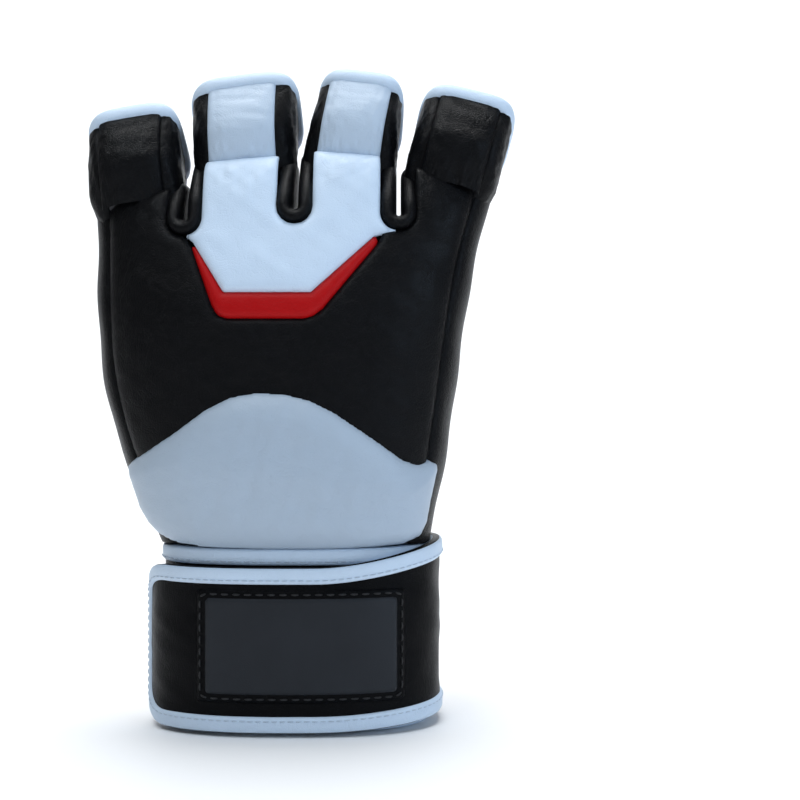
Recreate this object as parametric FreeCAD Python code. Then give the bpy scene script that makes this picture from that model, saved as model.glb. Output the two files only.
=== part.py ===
"""Open-finger grappling glove for a left hand, standing on its wrist cuff, in millimetres.

Frame: +Z runs from the cuff to the fingertips, the back of the hand faces -Y, the palm +Y,
the thumb side +X, and the origin is the centre of the cuff's foot.

Every leather, mesh and foam layer is cut from nested lofts of one hand form, so that each layer
seats on the one below. The four finger sections are built in their own upright frame, at the hinge
line of the knuckle crease, and are then leaned and curled into place.
"""

import FreeCAD
import Part

import math
import os

V = FreeCAD.Vector

# --- layers ---------------------------------------------------------------------------------
skin = 1.4               # leather or mesh skin
lining = 1.0             # inner lining of the hand and fingers
back_foam = 12.0         # foam over the knuckles
binding_width = 5.6      # how far a binding laps over an edge
binding_proud = 1.1      # how far a binding stands out of the leather it laps
seat_gap = 0.3           # running gap between pieces of different bodies
lining_slack = 0.3       # the lining hangs this far inside the skin

# --- wrist cuff -----------------------------------------------------------------------------
cuff_height = 62.0
cuff_half_width = 46.0
cuff_front = 28.0        # depth of the cuff from its axis to the back of the hand
cuff_back = 27.0         # depth of the cuff from its axis to the palm
cuff_wall = 3.0

# --- closing strap --------------------------------------------------------------------------
strap_bottom = 1.0
strap_height = 57.0
strap_thickness = 2.4
strap_corner = 16.0      # rounding of the strap's free end
strap_end_x = -50.0      # where the free end stops, on the little-finger side
strap_seam_x = 36.0      # where the strap is sewn to the cuff, on the palm
fastener_pile = 1.0      # thickness of the hook patch and of the loop patch
patch_left, patch_right = -32.0, 39.0
patch_low, patch_high = 10.7, 48.9
patch_thickness = 0.9

# --- hand form: height, left edge, right edge, back surface, palm surface, widest line --------
hand_stations = (
    (62.0, -47.0, 47.0, -28.0, 27.0, 0.0),
    (88.0, -59.0, 52.5, -33.0, 23.0, 1.0),
    (115.0, -67.0, 56.5, -33.5, 18.5, 1.0),
    (147.0, -70.0, 61.0, -32.0, 15.0, 1.0),
    (172.0, -70.5, 66.0, -25.5, 14.0, 2.0),
    (205.0, -73.0, 76.0, -13.5, 20.0, 8.0),
)
side_lap = 6.0           # the back panel stops this far inside the hand's side edges
palm_lap = 4.0           # and the palm skin this far
panel_setback = 7.0      # back panels end this far in front of the widest line

# --- slots between the fingers: centre and outer foot of the gusset -----------------------------
slots_at = ((-36.95, 168.0), (0.85, 172.0), (36.3, 170.0))
slot_half_gap = 1.0
slot_gusset = 5.2        # thickness of the rolled gusset in a slot

# --- finger sections: hinge x and height, tilt of the crease, lean of the sides, tilt of the ----
# --- opening (all positive towards the thumb side), base width, tip width, length ---------------
fingers = (
    ("little", -55.5, 181.5, -8.0, -4.0, -11.0, 32.4, 30.5, 31.0),
    ("ring", -18.0, 193.5, -5.0, -1.5, -8.0, 35.0, 36.8, 31.0),
    ("middle", 18.5, 195.5, 4.0, 9.5, 8.0, 33.0, 28.2, 31.0),
    ("index", 54.2, 188.5, 13.0, 15.0, 14.0, 32.4, 32.2, 31.5),
)
finger_curl = 26.0       # forward curl of a relaxed finger section
crease_depth = 7.0       # depth of the pad at the crease, where it folds
pad_depth = 10.4         # depth of a finger pad at its middle
tip_depth = 8.0          # depth of a finger pad under its binding
pad_share = 0.7          # share of the finger's width that is pad; the rest is gusset
finger_depth = 27.0      # from the hinge line to the palm side at the base
finger_tip_depth = 24.0  # and at the tip
opening_slant = 14.0     # the palm side of the opening is cut lower
mesh_share = 0.55        # share of the finger's depth that is gusset; the rest is mesh

# --- back of the hand -------------------------------------------------------------------------
trim_top = 167.0         # the coloured trim starts at the two outer slots
panel_floor_z = 148.5    # lower edge of the knuckle panel
trim_floor_z = 139.5     # lower edge of the trim
panel_floor_x = (-22.5, 7.0)
trim_floor_x = (-21.5, 6.0)
arch_top = 114.5         # crest of the wrist pad
arch_crest_x = -8.0
arch_side_z = 90.0       # where the arch meets the sides
wrist_pad_swell = 3.5    # how far the wrist pad stands out past the back of the hand

# --- palm ---------------------------------------------------------------------------------------
band_low, band_high = 138.5, 165.0
roll_radius = 7.5
roll_z = 153.0
roll_left, roll_right = -52.0, 43.0
thumb_hole_x = (4.0, 45.0)
thumb_hole_z = (68.0, 137.0)
thumb_mouth = (42.0, 37.0, 118.0)
thumb_mouth_half = (11.2, 20.0)
thumb_mouth_turn = 35.0  # how far the mouth turns from the palm towards the thumb side
thumb_wall = 1.4
thumb_taper = 0.55       # how much the teardrop narrows at its low end
thumb_sink = 6.0         # how far the sleeve's foot is sunk below the palm before it is cut flush
thumb_ring_radius = 3.1
thumb_points_count = 12

frame_x, frame_y = 2.1, 5.95  # middle of the glove's bounding box, from the cuff's axis

section_points = 24
roundness = 2.5          # exponent of the cross-sections: 2 is an ellipse, more is squarer
reach = 120.0            # longer than any cut has to be


def closed_curve(points):
    """Closed smooth wire through points."""
    curve = Part.BSplineCurve()
    curve.interpolate(points, PeriodicFlag=True)
    return Part.Wire([curve.toShape()])


def section(z, left, right, front, back, wide, power=roundness):
    """Cross-section at height z: an oval with its own depth on each side of its widest line."""
    middle, half = (left + right) / 2, (right - left) / 2
    points = []
    for i in range(section_points):
        angle = 2 * math.pi * i / section_points
        c, s = math.cos(angle), math.sin(angle)
        x = math.copysign(abs(c) ** (2 / power), c) * half
        depth = (back - wide) if s > 0 else (wide - front)
        y = math.copysign(abs(s) ** (2 / power), s) * depth
        points.append(V(middle + x, wide + y, z))
    return closed_curve(points)


def hand_form(front=0.0, side=0.0, back=0.0):
    """The hand's outer form, taken in by the given amounts at the front, sides and back."""
    wires = []
    for z, left, right, y_front, y_back, wide in hand_stations:
        wires.append(section(z, left + side, right - side, y_front + front, y_back - back, wide))
    return Part.makeLoft(wires, True, False)


def along_stations(z, column):
    """Value of one column of hand_stations at height z, between the two nearest stations."""
    for low, high in zip(hand_stations, hand_stations[1:]):
        if z <= high[0] or high is hand_stations[-1]:
            share = (z - low[0]) / (high[0] - low[0])
            return low[column] + share * (high[column] - low[column])


def cuff_form(grow):
    """Upright oval column around the cuff's axis, grown by the given amount."""
    half = cuff_half_width + grow
    foot = section(0, -half, half, -cuff_front - grow, cuff_back + grow, 0.0)
    return Part.Face(foot).extrude(V(0, 0, cuff_height))


def box(x0, x1, y0, y1, z0, z1):
    return Part.makeBox(x1 - x0, y1 - y0, z1 - z0, V(x0, y0, z0))


def front_prism(edges, y0=-reach, y1=reach):
    """Prism along Y of an outline drawn in the XZ plane."""
    face = Part.Face(Part.Wire(edges))
    face.translate(V(0, y0, 0))
    return face.extrude(V(0, y1 - y0, 0))


def polyline(points):
    """Edges of a closed polygon in the XZ plane."""
    corners = [V(x, 0, z) for x, z in points]
    return [Part.makeLine(a, b) for a, b in zip(corners, corners[1:] + corners[:1])]


def spline(points):
    """Smooth open edge in the XZ plane."""
    curve = Part.BSplineCurve()
    curve.interpolate([V(x, 0, z) for x, z in points])
    return curve.toShape()


def inside_sides(inset, y0, y1):
    """Prism over the hand's front view, inset from both side edges."""
    left = [(row[1] + inset, row[0]) for row in hand_stations]
    right = [(row[2] - inset, row[0]) for row in hand_stations]
    bottom, top = (left[0], right[0]), (left[-1], right[-1])
    edges = [
        spline(left),
        Part.makeLine(V(top[0][0], 0, top[0][1]), V(top[1][0], 0, top[1][1])),
        spline(right[::-1]),
        Part.makeLine(V(bottom[1][0], 0, bottom[1][1]), V(bottom[0][0], 0, bottom[0][1])),
    ]
    return front_prism(edges, y0, y1)


def slot_prism(slot, half):
    """U-shaped slot: a round floor and straight sides."""
    centre = slot[0]
    floor = slot[1] + slot_gusset + slot_half_gap - half
    top = hand_stations[-1][0] + reach
    arc = Part.Arc(
        V(centre - half, 0, floor + half), V(centre, 0, floor), V(centre + half, 0, floor + half)
    ).toShape()
    sides = [
        Part.makeLine(V(centre + half, 0, floor + half), V(centre + half, 0, top)),
        Part.makeLine(V(centre + half, 0, top), V(centre - half, 0, top)),
        Part.makeLine(V(centre - half, 0, top), V(centre - half, 0, floor + half)),
    ]
    return front_prism([arc] + sides)


def hinge_point(finger):
    """Point on the finger's hinge line, at the inner face of the pad in the crease."""
    x, z = finger[1], finger[2]
    return V(x, along_stations(z, 3) + crease_depth, z)


def hinge_axis(finger):
    """Unit vector about which a positive turn flexes the finger towards the palm."""
    tilt = math.radians(finger[3])
    return V(-math.cos(tilt), 0, math.sin(tilt))


def finger_placement(finger):
    """Placement that tilts, curls and moves a finger from its own frame to the hand's."""
    tilt = FreeCAD.Rotation(V(0, 1, 0), finger[3])
    curl = FreeCAD.Rotation(hinge_axis(finger), finger_curl)
    return FreeCAD.Placement(hinge_point(finger), curl.multiply(tilt))


def placed(shape, finger):
    moved = shape.copy()
    moved.Placement = finger_placement(finger)
    return moved


def above_crease(finger):
    """Everything that lies above a finger's base plane, between the slots beside it."""
    index = [f[0] for f in fingers].index(finger[0])
    sides = [-reach] + [slot[0] for slot in slots_at] + [reach]
    above = placed(box(-reach, reach, -reach, reach, -seat_gap, reach), finger)
    return above.common(box(sides[index], sides[index + 1], -reach, reach, 0, 3 * reach))


# --- shared cutters -----------------------------------------------------------------------------
envelope = hand_form()
under_skin = hand_form(skin, skin, skin)
lining_outside = hand_form(skin + back_foam, skin + lining_slack, skin + lining_slack)
lining_inside = hand_form(
    skin + back_foam + lining, skin + lining_slack + lining, skin + lining_slack + lining
)
skin_shell = envelope.cut(under_skin)

widest = max(row[5] for row in hand_stations[:-1])
back_zone = inside_sides(side_lap, -reach, -panel_setback)
palm_zone = inside_sides(palm_lap, widest + palm_lap, reach)
slots = Part.makeCompound([slot_prism(slot, slot_half_gap + slot_gusset) for slot in slots_at])
finger_space = Part.makeCompound([above_crease(f) for f in fingers])


def hand_piece(shape):
    """Cuts the slots and the finger sections out of a layer of the hand."""
    return shape.cut(slots).cut(finger_space)


def slot_gussets():
    """One rolled U of leather in each slot, from the back of the hand to the palm."""
    made = {}
    names = ("little_ring", "ring_middle", "middle_index")
    for name, slot in zip(names, slots_at):
        wide = slot_prism(slot, slot_half_gap + slot_gusset)
        gap = slot_prism(slot, slot_half_gap)
        roll = wide.cut(gap).common(envelope).cut(finger_space)
        made[name + "_slot_gusset"] = roll
    return made


def arch_prism(inset=0.0):
    """Front view of the wrist pad: an arched top edge over full sides."""
    left = along_stations(arch_side_z, 1) + inset
    right = along_stations(arch_side_z, 2) - inset
    top = arch_top - inset
    crest = spline(
        [
            (left, arch_side_z),
            ((left + arch_crest_x) / 2 - 4, (arch_side_z + top) / 2 + 3.5),
            (arch_crest_x, top),
            ((right + arch_crest_x) / 2 + 6, (arch_side_z + top) / 2 + 2.5),
            (right, arch_side_z),
        ]
    )
    foot = cuff_height + inset
    edges = [
        crest,
        Part.makeLine(V(right, 0, arch_side_z), V(right + side_lap, 0, foot)),
        Part.makeLine(V(right + side_lap, 0, foot), V(left - side_lap, 0, foot)),
        Part.makeLine(V(left - side_lap, 0, foot), V(left, 0, arch_side_z)),
    ]
    return front_prism(edges, -reach, -panel_setback)


def back_of_hand():
    """Foam, leather panels and coloured trim over the knuckles, and the wrist pad below them."""
    arch = arch_prism()
    shell = hand_piece(skin_shell.common(back_zone)).cut(arch)
    left, right = slots_at[0][0], slots_at[2][0]
    high = hand_stations[-1][0] + reach
    knuckles = front_prism(
        polyline(
            [
                (left, high),
                (left, trim_top),
                (panel_floor_x[0], panel_floor_z),
                (panel_floor_x[1], panel_floor_z),
                (right, trim_top),
                (right, high),
            ]
        )
    )
    trimmed = front_prism(
        polyline(
            [
                (left, high),
                (left, trim_top),
                (panel_floor_x[0] - 4, panel_floor_z - 6),
                (trim_floor_x[0], trim_floor_z),
                (trim_floor_x[1], trim_floor_z),
                (trim_floor_x[1] + 6, trim_floor_z + 4),
                (right, trim_top),
                (right, high),
            ]
        )
    )
    foam = hand_piece(under_skin.common(back_zone).cut(lining_outside)).cut(arch)
    swollen = hand_form(-wrist_pad_swell, 0.0, 0.0)
    swollen_inside = hand_form(skin - wrist_pad_swell, skin, skin)
    pad_zone = arch.common(inside_sides(side_lap, -reach, -panel_setback))
    return {
        "knuckle_panel": shell.common(knuckles),
        "knuckle_trim": shell.common(trimmed).cut(knuckles),
        "back_panel": shell.cut(trimmed.fuse(knuckles)),
        "back_foam": foam,
        "wrist_pad_cover": swollen.cut(swollen_inside).common(pad_zone),
        "wrist_pad_foam": swollen_inside.common(pad_zone).cut(lining_outside),
    }


def side_gussets():
    """The strips of leather between the back panel and the palm on both sides of the hand."""
    strips = hand_piece(skin_shell.cut(back_zone).cut(palm_zone))
    split = arch_crest_x
    return {
        "little_side_gusset": strips.common(box(-reach, split, -reach, reach, 0, 2 * reach)),
        "thumb_side_gusset": strips.common(box(split, reach, -reach, reach, 0, 2 * reach)),
    }


def thumb_points(inset, sink):
    """Teardrop where the thumb sleeve is sewn into the palm, sunk below the palm's slope."""
    low, high = thumb_hole_z
    fall = (along_stations(high, 4) - along_stations(low, 4)) / (high - low)
    half_x = (thumb_hole_x[1] - thumb_hole_x[0]) / 2 - inset
    half_z = (high - low) / 2 - inset
    points = []
    for i in range(thumb_points_count):
        angle = 2 * math.pi * i / thumb_points_count
        up = math.sin(angle)
        narrow = 1 - thumb_taper * (1 - up) / 2
        lean = thumb_taper * half_x * (1 - up) / 6
        x = sum(thumb_hole_x) / 2 + half_x * narrow * math.cos(angle) - lean
        z = (low + high) / 2 + half_z * up
        points.append(V(x, along_stations(low, 4) + fall * (z - low) - sink, z))
    return points


def mouth_points(inset, along):
    """Oval of the thumb sleeve's mouth, moved outward along its own axis."""
    turn = math.radians(thumb_mouth_turn)
    points = []
    for i in range(thumb_points_count):
        angle = 2 * math.pi * i / thumb_points_count
        across = (thumb_mouth_half[0] - inset) * math.cos(angle)
        x = thumb_mouth[0] + across * math.cos(turn) + along * math.sin(turn)
        y = thumb_mouth[1] - across * math.sin(turn) + along * math.cos(turn)
        points.append(V(x, y, thumb_mouth[2] + (thumb_mouth_half[1] - inset) * math.sin(angle)))
    return points


def thumb_loft(inset, extra):
    """Solid sleeve from the teardrop in the palm out to the oval mouth."""
    foot = closed_curve(thumb_points(inset, thumb_sink + extra))
    mouth = closed_curve(mouth_points(inset, extra))
    return Part.makeLoft([foot, mouth], True, True)


def palm_pieces():
    """Mesh palm with its leather band and grip roll, and the thumb sleeve with its bound mouth."""
    palm = hand_piece(skin_shell.common(palm_zone))
    hole = thumb_loft(thumb_wall, 2 * thumb_sink)
    low = box(-reach, reach, -reach, reach, 0, band_low)
    band = box(-reach, reach, -reach, reach, band_low, band_high)
    depth = along_stations(roll_z, 4)
    length = roll_right - roll_left - 2 * roll_radius
    roll = Part.makeCylinder(
        roll_radius, length, V(roll_left + roll_radius, depth, roll_z), V(1, 0, 0)
    )
    for x in (roll_left + roll_radius, roll_right - roll_radius):
        roll = roll.fuse(Part.makeSphere(roll_radius, V(x, depth, roll_z)))
    sleeve = thumb_loft(0.0, 0.0).cut(thumb_loft(thumb_wall, 1.0)).cut(envelope)
    path = closed_curve(mouth_points(thumb_wall / 2, thumb_ring_radius + seat_gap))
    start = path.Edges[0]
    first = start.valueAt(start.FirstParameter)
    tangent = start.tangentAt(start.FirstParameter)
    rim = Part.Wire([Part.makeCircle(thumb_ring_radius, first, tangent)])
    return {
        "palm_mesh": palm.common(low).cut(hole),
        "palm_band": palm.common(band),
        "finger_root_mesh": palm.cut(low).cut(band),
        "grip_roll": roll.cut(envelope),
        "hand_lining": hand_piece(lining_outside.cut(lining_inside)).cut(hole),
        "thumb_sleeve": sleeve,
        "thumb_ring": path.makePipeShell([rim], True, False),
    }


def cuff_pieces():
    """Wrist cuff with a binding on each edge and the loop patch that the strap grips."""
    wall = cuff_form(0).cut(cuff_form(-cuff_wall))
    lap = cuff_form(binding_proud).cut(cuff_form(-cuff_wall - binding_proud))
    foot = lap.common(box(-reach, reach, -reach, reach, 0, binding_width))
    head = lap.common(
        box(-reach, reach, -reach, reach, cuff_height - binding_width, cuff_height)
    )
    body = wall.common(
        box(-reach, reach, -reach, reach, binding_proud, cuff_height - binding_proud)
    )
    pile = cuff_form(fastener_pile).cut(cuff_form(0))
    loop_zone = box(-cuff_half_width + 6, 16, -reach, 0, binding_width + 2, cuff_height - 12)
    return {
        "cuff_band": body,
        "cuff_foot_binding": foot.cut(body),
        "cuff_head_binding": head.cut(body),
        "loop_patch": pile.common(loop_zone),
    }


def strap_outline(inset):
    """Front view of the strap: square at the thumb side, rounded at its free end."""
    low, high = strap_bottom + inset, strap_bottom + strap_height - inset
    left, radius = strap_end_x + inset, strap_corner - inset
    right = reach
    corner = radius * (1 - math.sqrt(0.5))
    return [
        Part.makeLine(V(left + radius, 0, low), V(right, 0, low)),
        Part.makeLine(V(right, 0, low), V(right, 0, high)),
        Part.makeLine(V(right, 0, high), V(left + radius, 0, high)),
        Part.Arc(
            V(left + radius, 0, high), V(left + corner, 0, high - corner), V(left, 0, high - radius)
        ).toShape(),
        Part.makeLine(V(left, 0, high - radius), V(left, 0, low + radius)),
        Part.Arc(
            V(left, 0, low + radius), V(left + corner, 0, low + corner), V(left + radius, 0, low)
        ).toShape(),
    ]


def strap_pieces():
    """Strap with its edge binding, hook patch and plain name patch, as one hinged flap."""
    inner = max(fastener_pile, binding_proud) + seat_gap + fastener_pile
    around = strap_zone(0.0)
    wall = cuff_form(inner + strap_thickness).cut(cuff_form(inner))
    lap = cuff_form(inner + strap_thickness + binding_proud).cut(cuff_form(inner - binding_proud / 2))
    body = wall.common(strap_zone(binding_proud))
    rim = around.cut(strap_zone(binding_width))
    hooks = cuff_form(inner).cut(cuff_form(inner - fastener_pile))
    hook_zone = box(strap_end_x + 9, -2, -reach, 0, strap_bottom + 9, strap_bottom + strap_height - 9)
    plate = cuff_form(inner + strap_thickness + patch_thickness).cut(
        cuff_form(inner + strap_thickness)
    )
    return {
        "strap_band": body,
        "strap_binding": lap.common(rim).cut(body),
        "hook_patch": hooks.common(hook_zone),
        "name_patch": plate.common(box(patch_left, patch_right, -reach, 0, patch_low, patch_high)),
    }


def strap_zone(inset):
    """Space of the strap: across the back of the wrist and round the thumb side to its seam."""
    front = front_prism(strap_outline(inset), -reach, 0)
    side = box(
        strap_seam_x + inset, reach, 0, reach,
        strap_bottom + inset, strap_bottom + strap_height - inset,
    )
    return front.fuse(side)


def finger_loft(finger, levels):
    """Loft in the finger's own frame; a level is (share of length, depth, side, front, back)."""
    base, tip, length = finger[6:]
    shear = math.tan(math.radians(finger[4] - finger[3]))
    wires = []
    for share, depth, side, front, back in levels:
        middle = share * length * shear
        half = (base + share * (tip - base)) / 2 - side
        palm = finger_depth + share * (finger_tip_depth - finger_depth) - back
        wires.append(
            section(share * length, middle - half, middle + half, front - depth, palm, palm * 0.45)
        )
    return Part.makeLoft(wires, True, False)


def pad_levels(inset):
    """Depth of the finger pad along the finger: drawn in at the crease, full, less at the tip."""
    profile = (
        (0.0, crease_depth - 1.5), (0.12, 0.86 * pad_depth), (0.4, pad_depth),
        (0.75, 0.93 * pad_depth), (1.0, tip_depth), (1.2, tip_depth - 1),
    )
    return [(share, depth, inset, inset, inset) for share, depth in profile]


def tube_levels(inset):
    """The finger's cavity side: straight at the hinge line."""
    return [(share, 0.0, skin + inset, inset, skin + inset) for share in (0.0, 0.5, 1.2)]


def mouth_space(finger):
    """Everything beyond the finger's slanted opening."""
    beyond = box(-reach, reach, -reach, reach, 0, reach)
    beyond.rotate(V(0, 0, 0), V(1, 0, 0), -opening_slant)
    beyond.rotate(V(0, 0, 0), V(0, 1, 0), finger[5] - finger[3])
    beyond.translate(V(0, 0, finger[8]))
    return beyond


def finger_pieces(finger):
    """Foam pad, leather cover, side gusset, palm-side mesh and bound opening of one finger."""
    name = finger[0]
    whole = finger_loft(finger, pad_levels(0.0))
    padded = finger_loft(finger, pad_levels(skin))
    tube = finger_loft(finger, tube_levels(0.0))
    cavity = finger_loft(finger, tube_levels(lining))
    mouth = mouth_space(finger)
    lip = mouth.copy()
    lip.translate(V(0, 0, -binding_width))
    palm_side = box(-reach, reach, mesh_share * finger_depth, reach, -reach, reach)
    pad_half = pad_share * finger[6] / 2
    pad_zone = box(-pad_half, pad_half, -reach, 0, -reach, reach)
    shell = whole.cut(padded)
    wall = whole.cut(lip).cut(cavity)
    sides = wall.cut(palm_side)
    ring = finger_loft(finger, pad_levels(-binding_proud)).common(lip).cut(mouth).cut(cavity)
    pieces = {
        name + "_pad_foam": padded.common(pad_zone).cut(tube).cut(lip),
        name + "_pad_cover": shell.common(pad_zone).cut(tube).cut(lip),
        name + "_gusset": sides.cut(pad_zone).fuse(sides.common(pad_zone).common(tube)),
        name + "_mesh": wall.common(palm_side),
        name + "_binding": ring,
    }
    return {key: placed(shape, finger) for key, shape in pieces.items()}


def solids_only(shape):
    """Compound of a shape's solids, without faces or edges that a cut left over."""
    return Part.makeCompound([s for s in shape.Solids if s.Volume > 0.5])


def main():
    os.makedirs("parts", exist_ok=True)
    nodes = {}
    nodes.update(back_of_hand())
    nodes.update(side_gussets())
    nodes.update(slot_gussets())
    nodes.update(palm_pieces())
    nodes.update(cuff_pieces())
    nodes.update(strap_pieces())
    for finger in fingers:
        nodes.update(finger_pieces(finger))
    for name, shape in nodes.items():
        kept = solids_only(shape)
        kept.translate(V(-frame_x, -frame_y, 0))
        kept.exportStep(os.path.join("parts", name + ".step"))
        print(f"{name}: {len(kept.Solids)} solids, {kept.Volume:.0f} mm3, valid {kept.isValid()}")


main()
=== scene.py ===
"""Looks of the open-finger grappling glove: leather panels, padding, mesh, bindings and stitches
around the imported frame."""

import math
from collections import namedtuple

import bpy
import numpy as np
from bpy.props import FloatProperty, FloatVectorProperty, PointerProperty
from bpy.types import Operator, Panel, PropertyGroup
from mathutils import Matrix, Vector


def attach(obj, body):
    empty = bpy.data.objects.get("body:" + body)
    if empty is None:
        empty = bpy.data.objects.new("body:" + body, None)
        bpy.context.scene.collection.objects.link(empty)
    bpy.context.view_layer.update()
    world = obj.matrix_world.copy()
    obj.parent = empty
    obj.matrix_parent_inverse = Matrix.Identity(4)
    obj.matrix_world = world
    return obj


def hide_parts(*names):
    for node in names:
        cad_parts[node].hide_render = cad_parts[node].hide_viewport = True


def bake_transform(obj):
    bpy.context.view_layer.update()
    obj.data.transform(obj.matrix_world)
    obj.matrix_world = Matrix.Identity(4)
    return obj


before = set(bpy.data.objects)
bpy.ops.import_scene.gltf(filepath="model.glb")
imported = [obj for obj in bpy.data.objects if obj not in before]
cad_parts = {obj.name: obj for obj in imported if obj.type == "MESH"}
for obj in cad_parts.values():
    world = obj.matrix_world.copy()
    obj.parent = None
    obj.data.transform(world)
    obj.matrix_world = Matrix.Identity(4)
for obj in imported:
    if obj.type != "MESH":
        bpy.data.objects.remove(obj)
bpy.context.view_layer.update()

bl_info = {
    "name": "Grappling glove",
    "version": (1, 0, 0),
    "blender": (4, 5, 0),
    "location": "3D View > Sidebar > Glove",
    "description": "Builds the visual model of an open-finger grappling glove around its packed frame",
    "category": "Object",
}

# The hand form that the frame's skins follow, in millimetres from the cuff's axis:
# height, little-finger edge, thumb edge, back surface, palm surface, widest line.
HAND_STATIONS = (
    (62.0, -47.0, 47.0, -28.0, 27.0, 0.0),
    (88.0, -59.0, 52.5, -33.0, 23.0, 1.0),
    (115.0, -67.0, 56.5, -33.5, 18.5, 1.0),
    (147.0, -70.0, 61.0, -32.0, 15.0, 1.0),
    (172.0, -70.5, 66.0, -25.5, 14.0, 2.0),
    (205.0, -73.0, 76.0, -13.5, 20.0, 8.0),
)
ROUNDNESS = 2.5

# Finger sections. Tilt of the crease, lean of the sides and tilt of the opening are in degrees,
# positive towards the thumb side.
Finger = namedtuple("Finger", "name x z tilt lean mouth_tilt base tip length")
FINGERS = (
    Finger("little", -55.5, 181.5, -8.0, -4.0, -11.0, 32.4, 30.5, 31.0),
    Finger("ring", -18.0, 193.5, -5.0, -1.5, -8.0, 35.0, 36.8, 31.0),
    Finger("middle", 18.5, 195.5, 4.0, 9.5, 8.0, 33.0, 28.2, 31.0),
    Finger("index", 54.2, 188.5, 13.0, 15.0, 14.0, 32.4, 32.2, 31.5),
)
# Slots between the fingers: middle, and height of the gusset's outer foot.
SLOTS = (-36.95, 0.85, 36.3)
SLOT_FEET = (168.0, 172.0, 170.0)


def length(name, description, default, **limits):
    """A size of the property group, in millimetres, degrees or as a share."""
    return FloatProperty(name=name, description=description, default=default, **limits)


def colour(name, default):
    """A base colour of the property group."""
    return FloatVectorProperty(name=name, subtype="COLOR", size=3, default=default)


class GLOVE_PG_sizes(PropertyGroup):
    """Sizes in millimetres, shared by every piece."""

    frame_x: length("Frame X", "Middle of the box, from the cuff's axis", 2.1)
    frame_y: length("Frame Y", "Middle of the box, from the cuff's axis", 5.95)
    cell: length("Cell", "Grid size of a leather panel", 0.9, min=0.3)
    skin: length("Skin", "Thickness of leather and mesh", 1.4, min=0.1)
    lining: length("Lining", "Thickness of the lining", 1.0, min=0.1)
    seam_depth: length("Seam depth", "How deep a seam pulls a panel's edge in", 1.3)
    seam_width: length("Seam width", "How far from its seam a panel is full", 4.0)
    binding_width: length("Binding width", "Width of the edge bindings", 5.6)
    binding_proud: length("Binding proud", "How far a binding stands out", 1.1)
    slot_half_gap: length("Slot half gap", "Half the open gap in a slot", 1.0)
    slot_gusset: length("Slot gusset", "Thickness of the rolled gusset", 5.2)
    side_lap: length("Side lap", "Inset of the back panel from the edges", 6.0)
    palm_lap: length("Palm lap", "Inset of the palm skin from the edges", 4.0)
    crease_depth: length("Crease depth", "Depth of the pad at a crease", 7.0)
    pad_depth: length("Pad depth", "Depth of a finger pad", 10.4)
    tip_depth: length("Tip depth", "Depth of the pad under its binding", 8.0)
    finger_depth: length("Finger depth", "Hinge line to palm side, at the base", 27.0)
    finger_tip_depth: length("Finger tip depth", "The same at the tip", 24.0)
    finger_curl: length("Curl", "Forward curl of a relaxed finger, degrees", 26.0)
    opening_slant: length("Slant", "Slant of a finger's opening, degrees", 14.0)
    pad_share: length("Pad share", "Share of a finger's width that is pad", 0.7)
    cuff_height: length("Cuff height", "Height of the wrist cuff", 62.0)
    cuff_half: length("Cuff half width", "Half the cuff's width", 46.0)
    cuff_front: length("Cuff front", "Cuff's depth to the back of the hand", 28.0)
    cuff_back: length("Cuff back", "Cuff's depth to the palm", 27.0)
    cuff_wall: length("Cuff wall", "Thickness of the cuff", 3.0)
    strap_bottom: length("Strap bottom", "Height of the strap's lower edge", 1.0)
    strap_height: length("Strap height", "Width of the strap", 57.0)
    strap_inner: length("Strap inner", "Gap from the cuff to the strap's inside", 2.4)
    strap_thickness: length("Strap thickness", "Thickness of the strap", 2.4)
    strap_corner: length("Strap corner", "Rounding of the free end", 16.0)
    strap_seam_x: length("Strap seam", "Where the strap is sewn on, at the palm", 36.0)
    band_low: length("Band low", "Lower edge of the palm band", 138.5)
    band_high: length("Band high", "Upper edge of the palm band", 165.0)
    roll_radius: length("Roll radius", "Radius of the grip roll", 7.5)
    roll_z: length("Roll height", "Height of the grip roll", 153.0)
    roll_left: length("Roll left", "Little-finger end of the roll", -52.0)
    roll_right: length("Roll right", "Thumb end of the roll", 43.0)


class GLOVE_PG_colours(PropertyGroup):
    """Base colours of the materials."""

    black: colour("Black leather", (0.0026, 0.0028, 0.0036))
    white: colour("White leather", (0.615, 0.745, 0.90))
    red: colour("Red leather", (0.43, 0.0022, 0.0035))
    mesh: colour("Spacer mesh", (0.50, 0.50, 0.68))
    knit: colour("Stretch knit", (0.012, 0.012, 0.014))
    patch: colour("Name patch", (0.017, 0.0195, 0.024))
    floor: colour("Floor", (0.93, 0.93, 0.935))


def sizes():
    return bpy.context.scene.glove_sizes


def colours():
    return bpy.context.scene.glove_colours


def to_row(points):
    """Millimetres from the cuff's axis to metres in the row frame."""
    s = sizes()
    return (np.asarray(points, float) - np.array([s.frame_x, s.frame_y, 0.0])) * 0.001


# --- forms ----------------------------------------------------------------------------------


def station_value(z, column):
    """Smooth curve through one column of the hand's stations."""
    heights = np.array([row[0] for row in HAND_STATIONS])
    values = np.array([row[column] for row in HAND_STATIONS])
    slopes = np.gradient(values, heights)
    z = np.clip(np.asarray(z, float), heights[0] - 8, heights[-1])
    i = np.clip(np.searchsorted(heights, z) - 1, 0, len(heights) - 2)
    step = heights[i + 1] - heights[i]
    t = (z - heights[i]) / step
    a = values[i] * (2 * t**3 - 3 * t**2 + 1) + slopes[i] * step * (t**3 - 2 * t**2 + t)
    b = values[i + 1] * (3 * t**2 - 2 * t**3) + slopes[i + 1] * step * (t**3 - t**2)
    return a + b


def signed(value, power):
    """Power of a value that keeps its sign."""
    return np.sign(value) * np.abs(value) ** power


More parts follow.
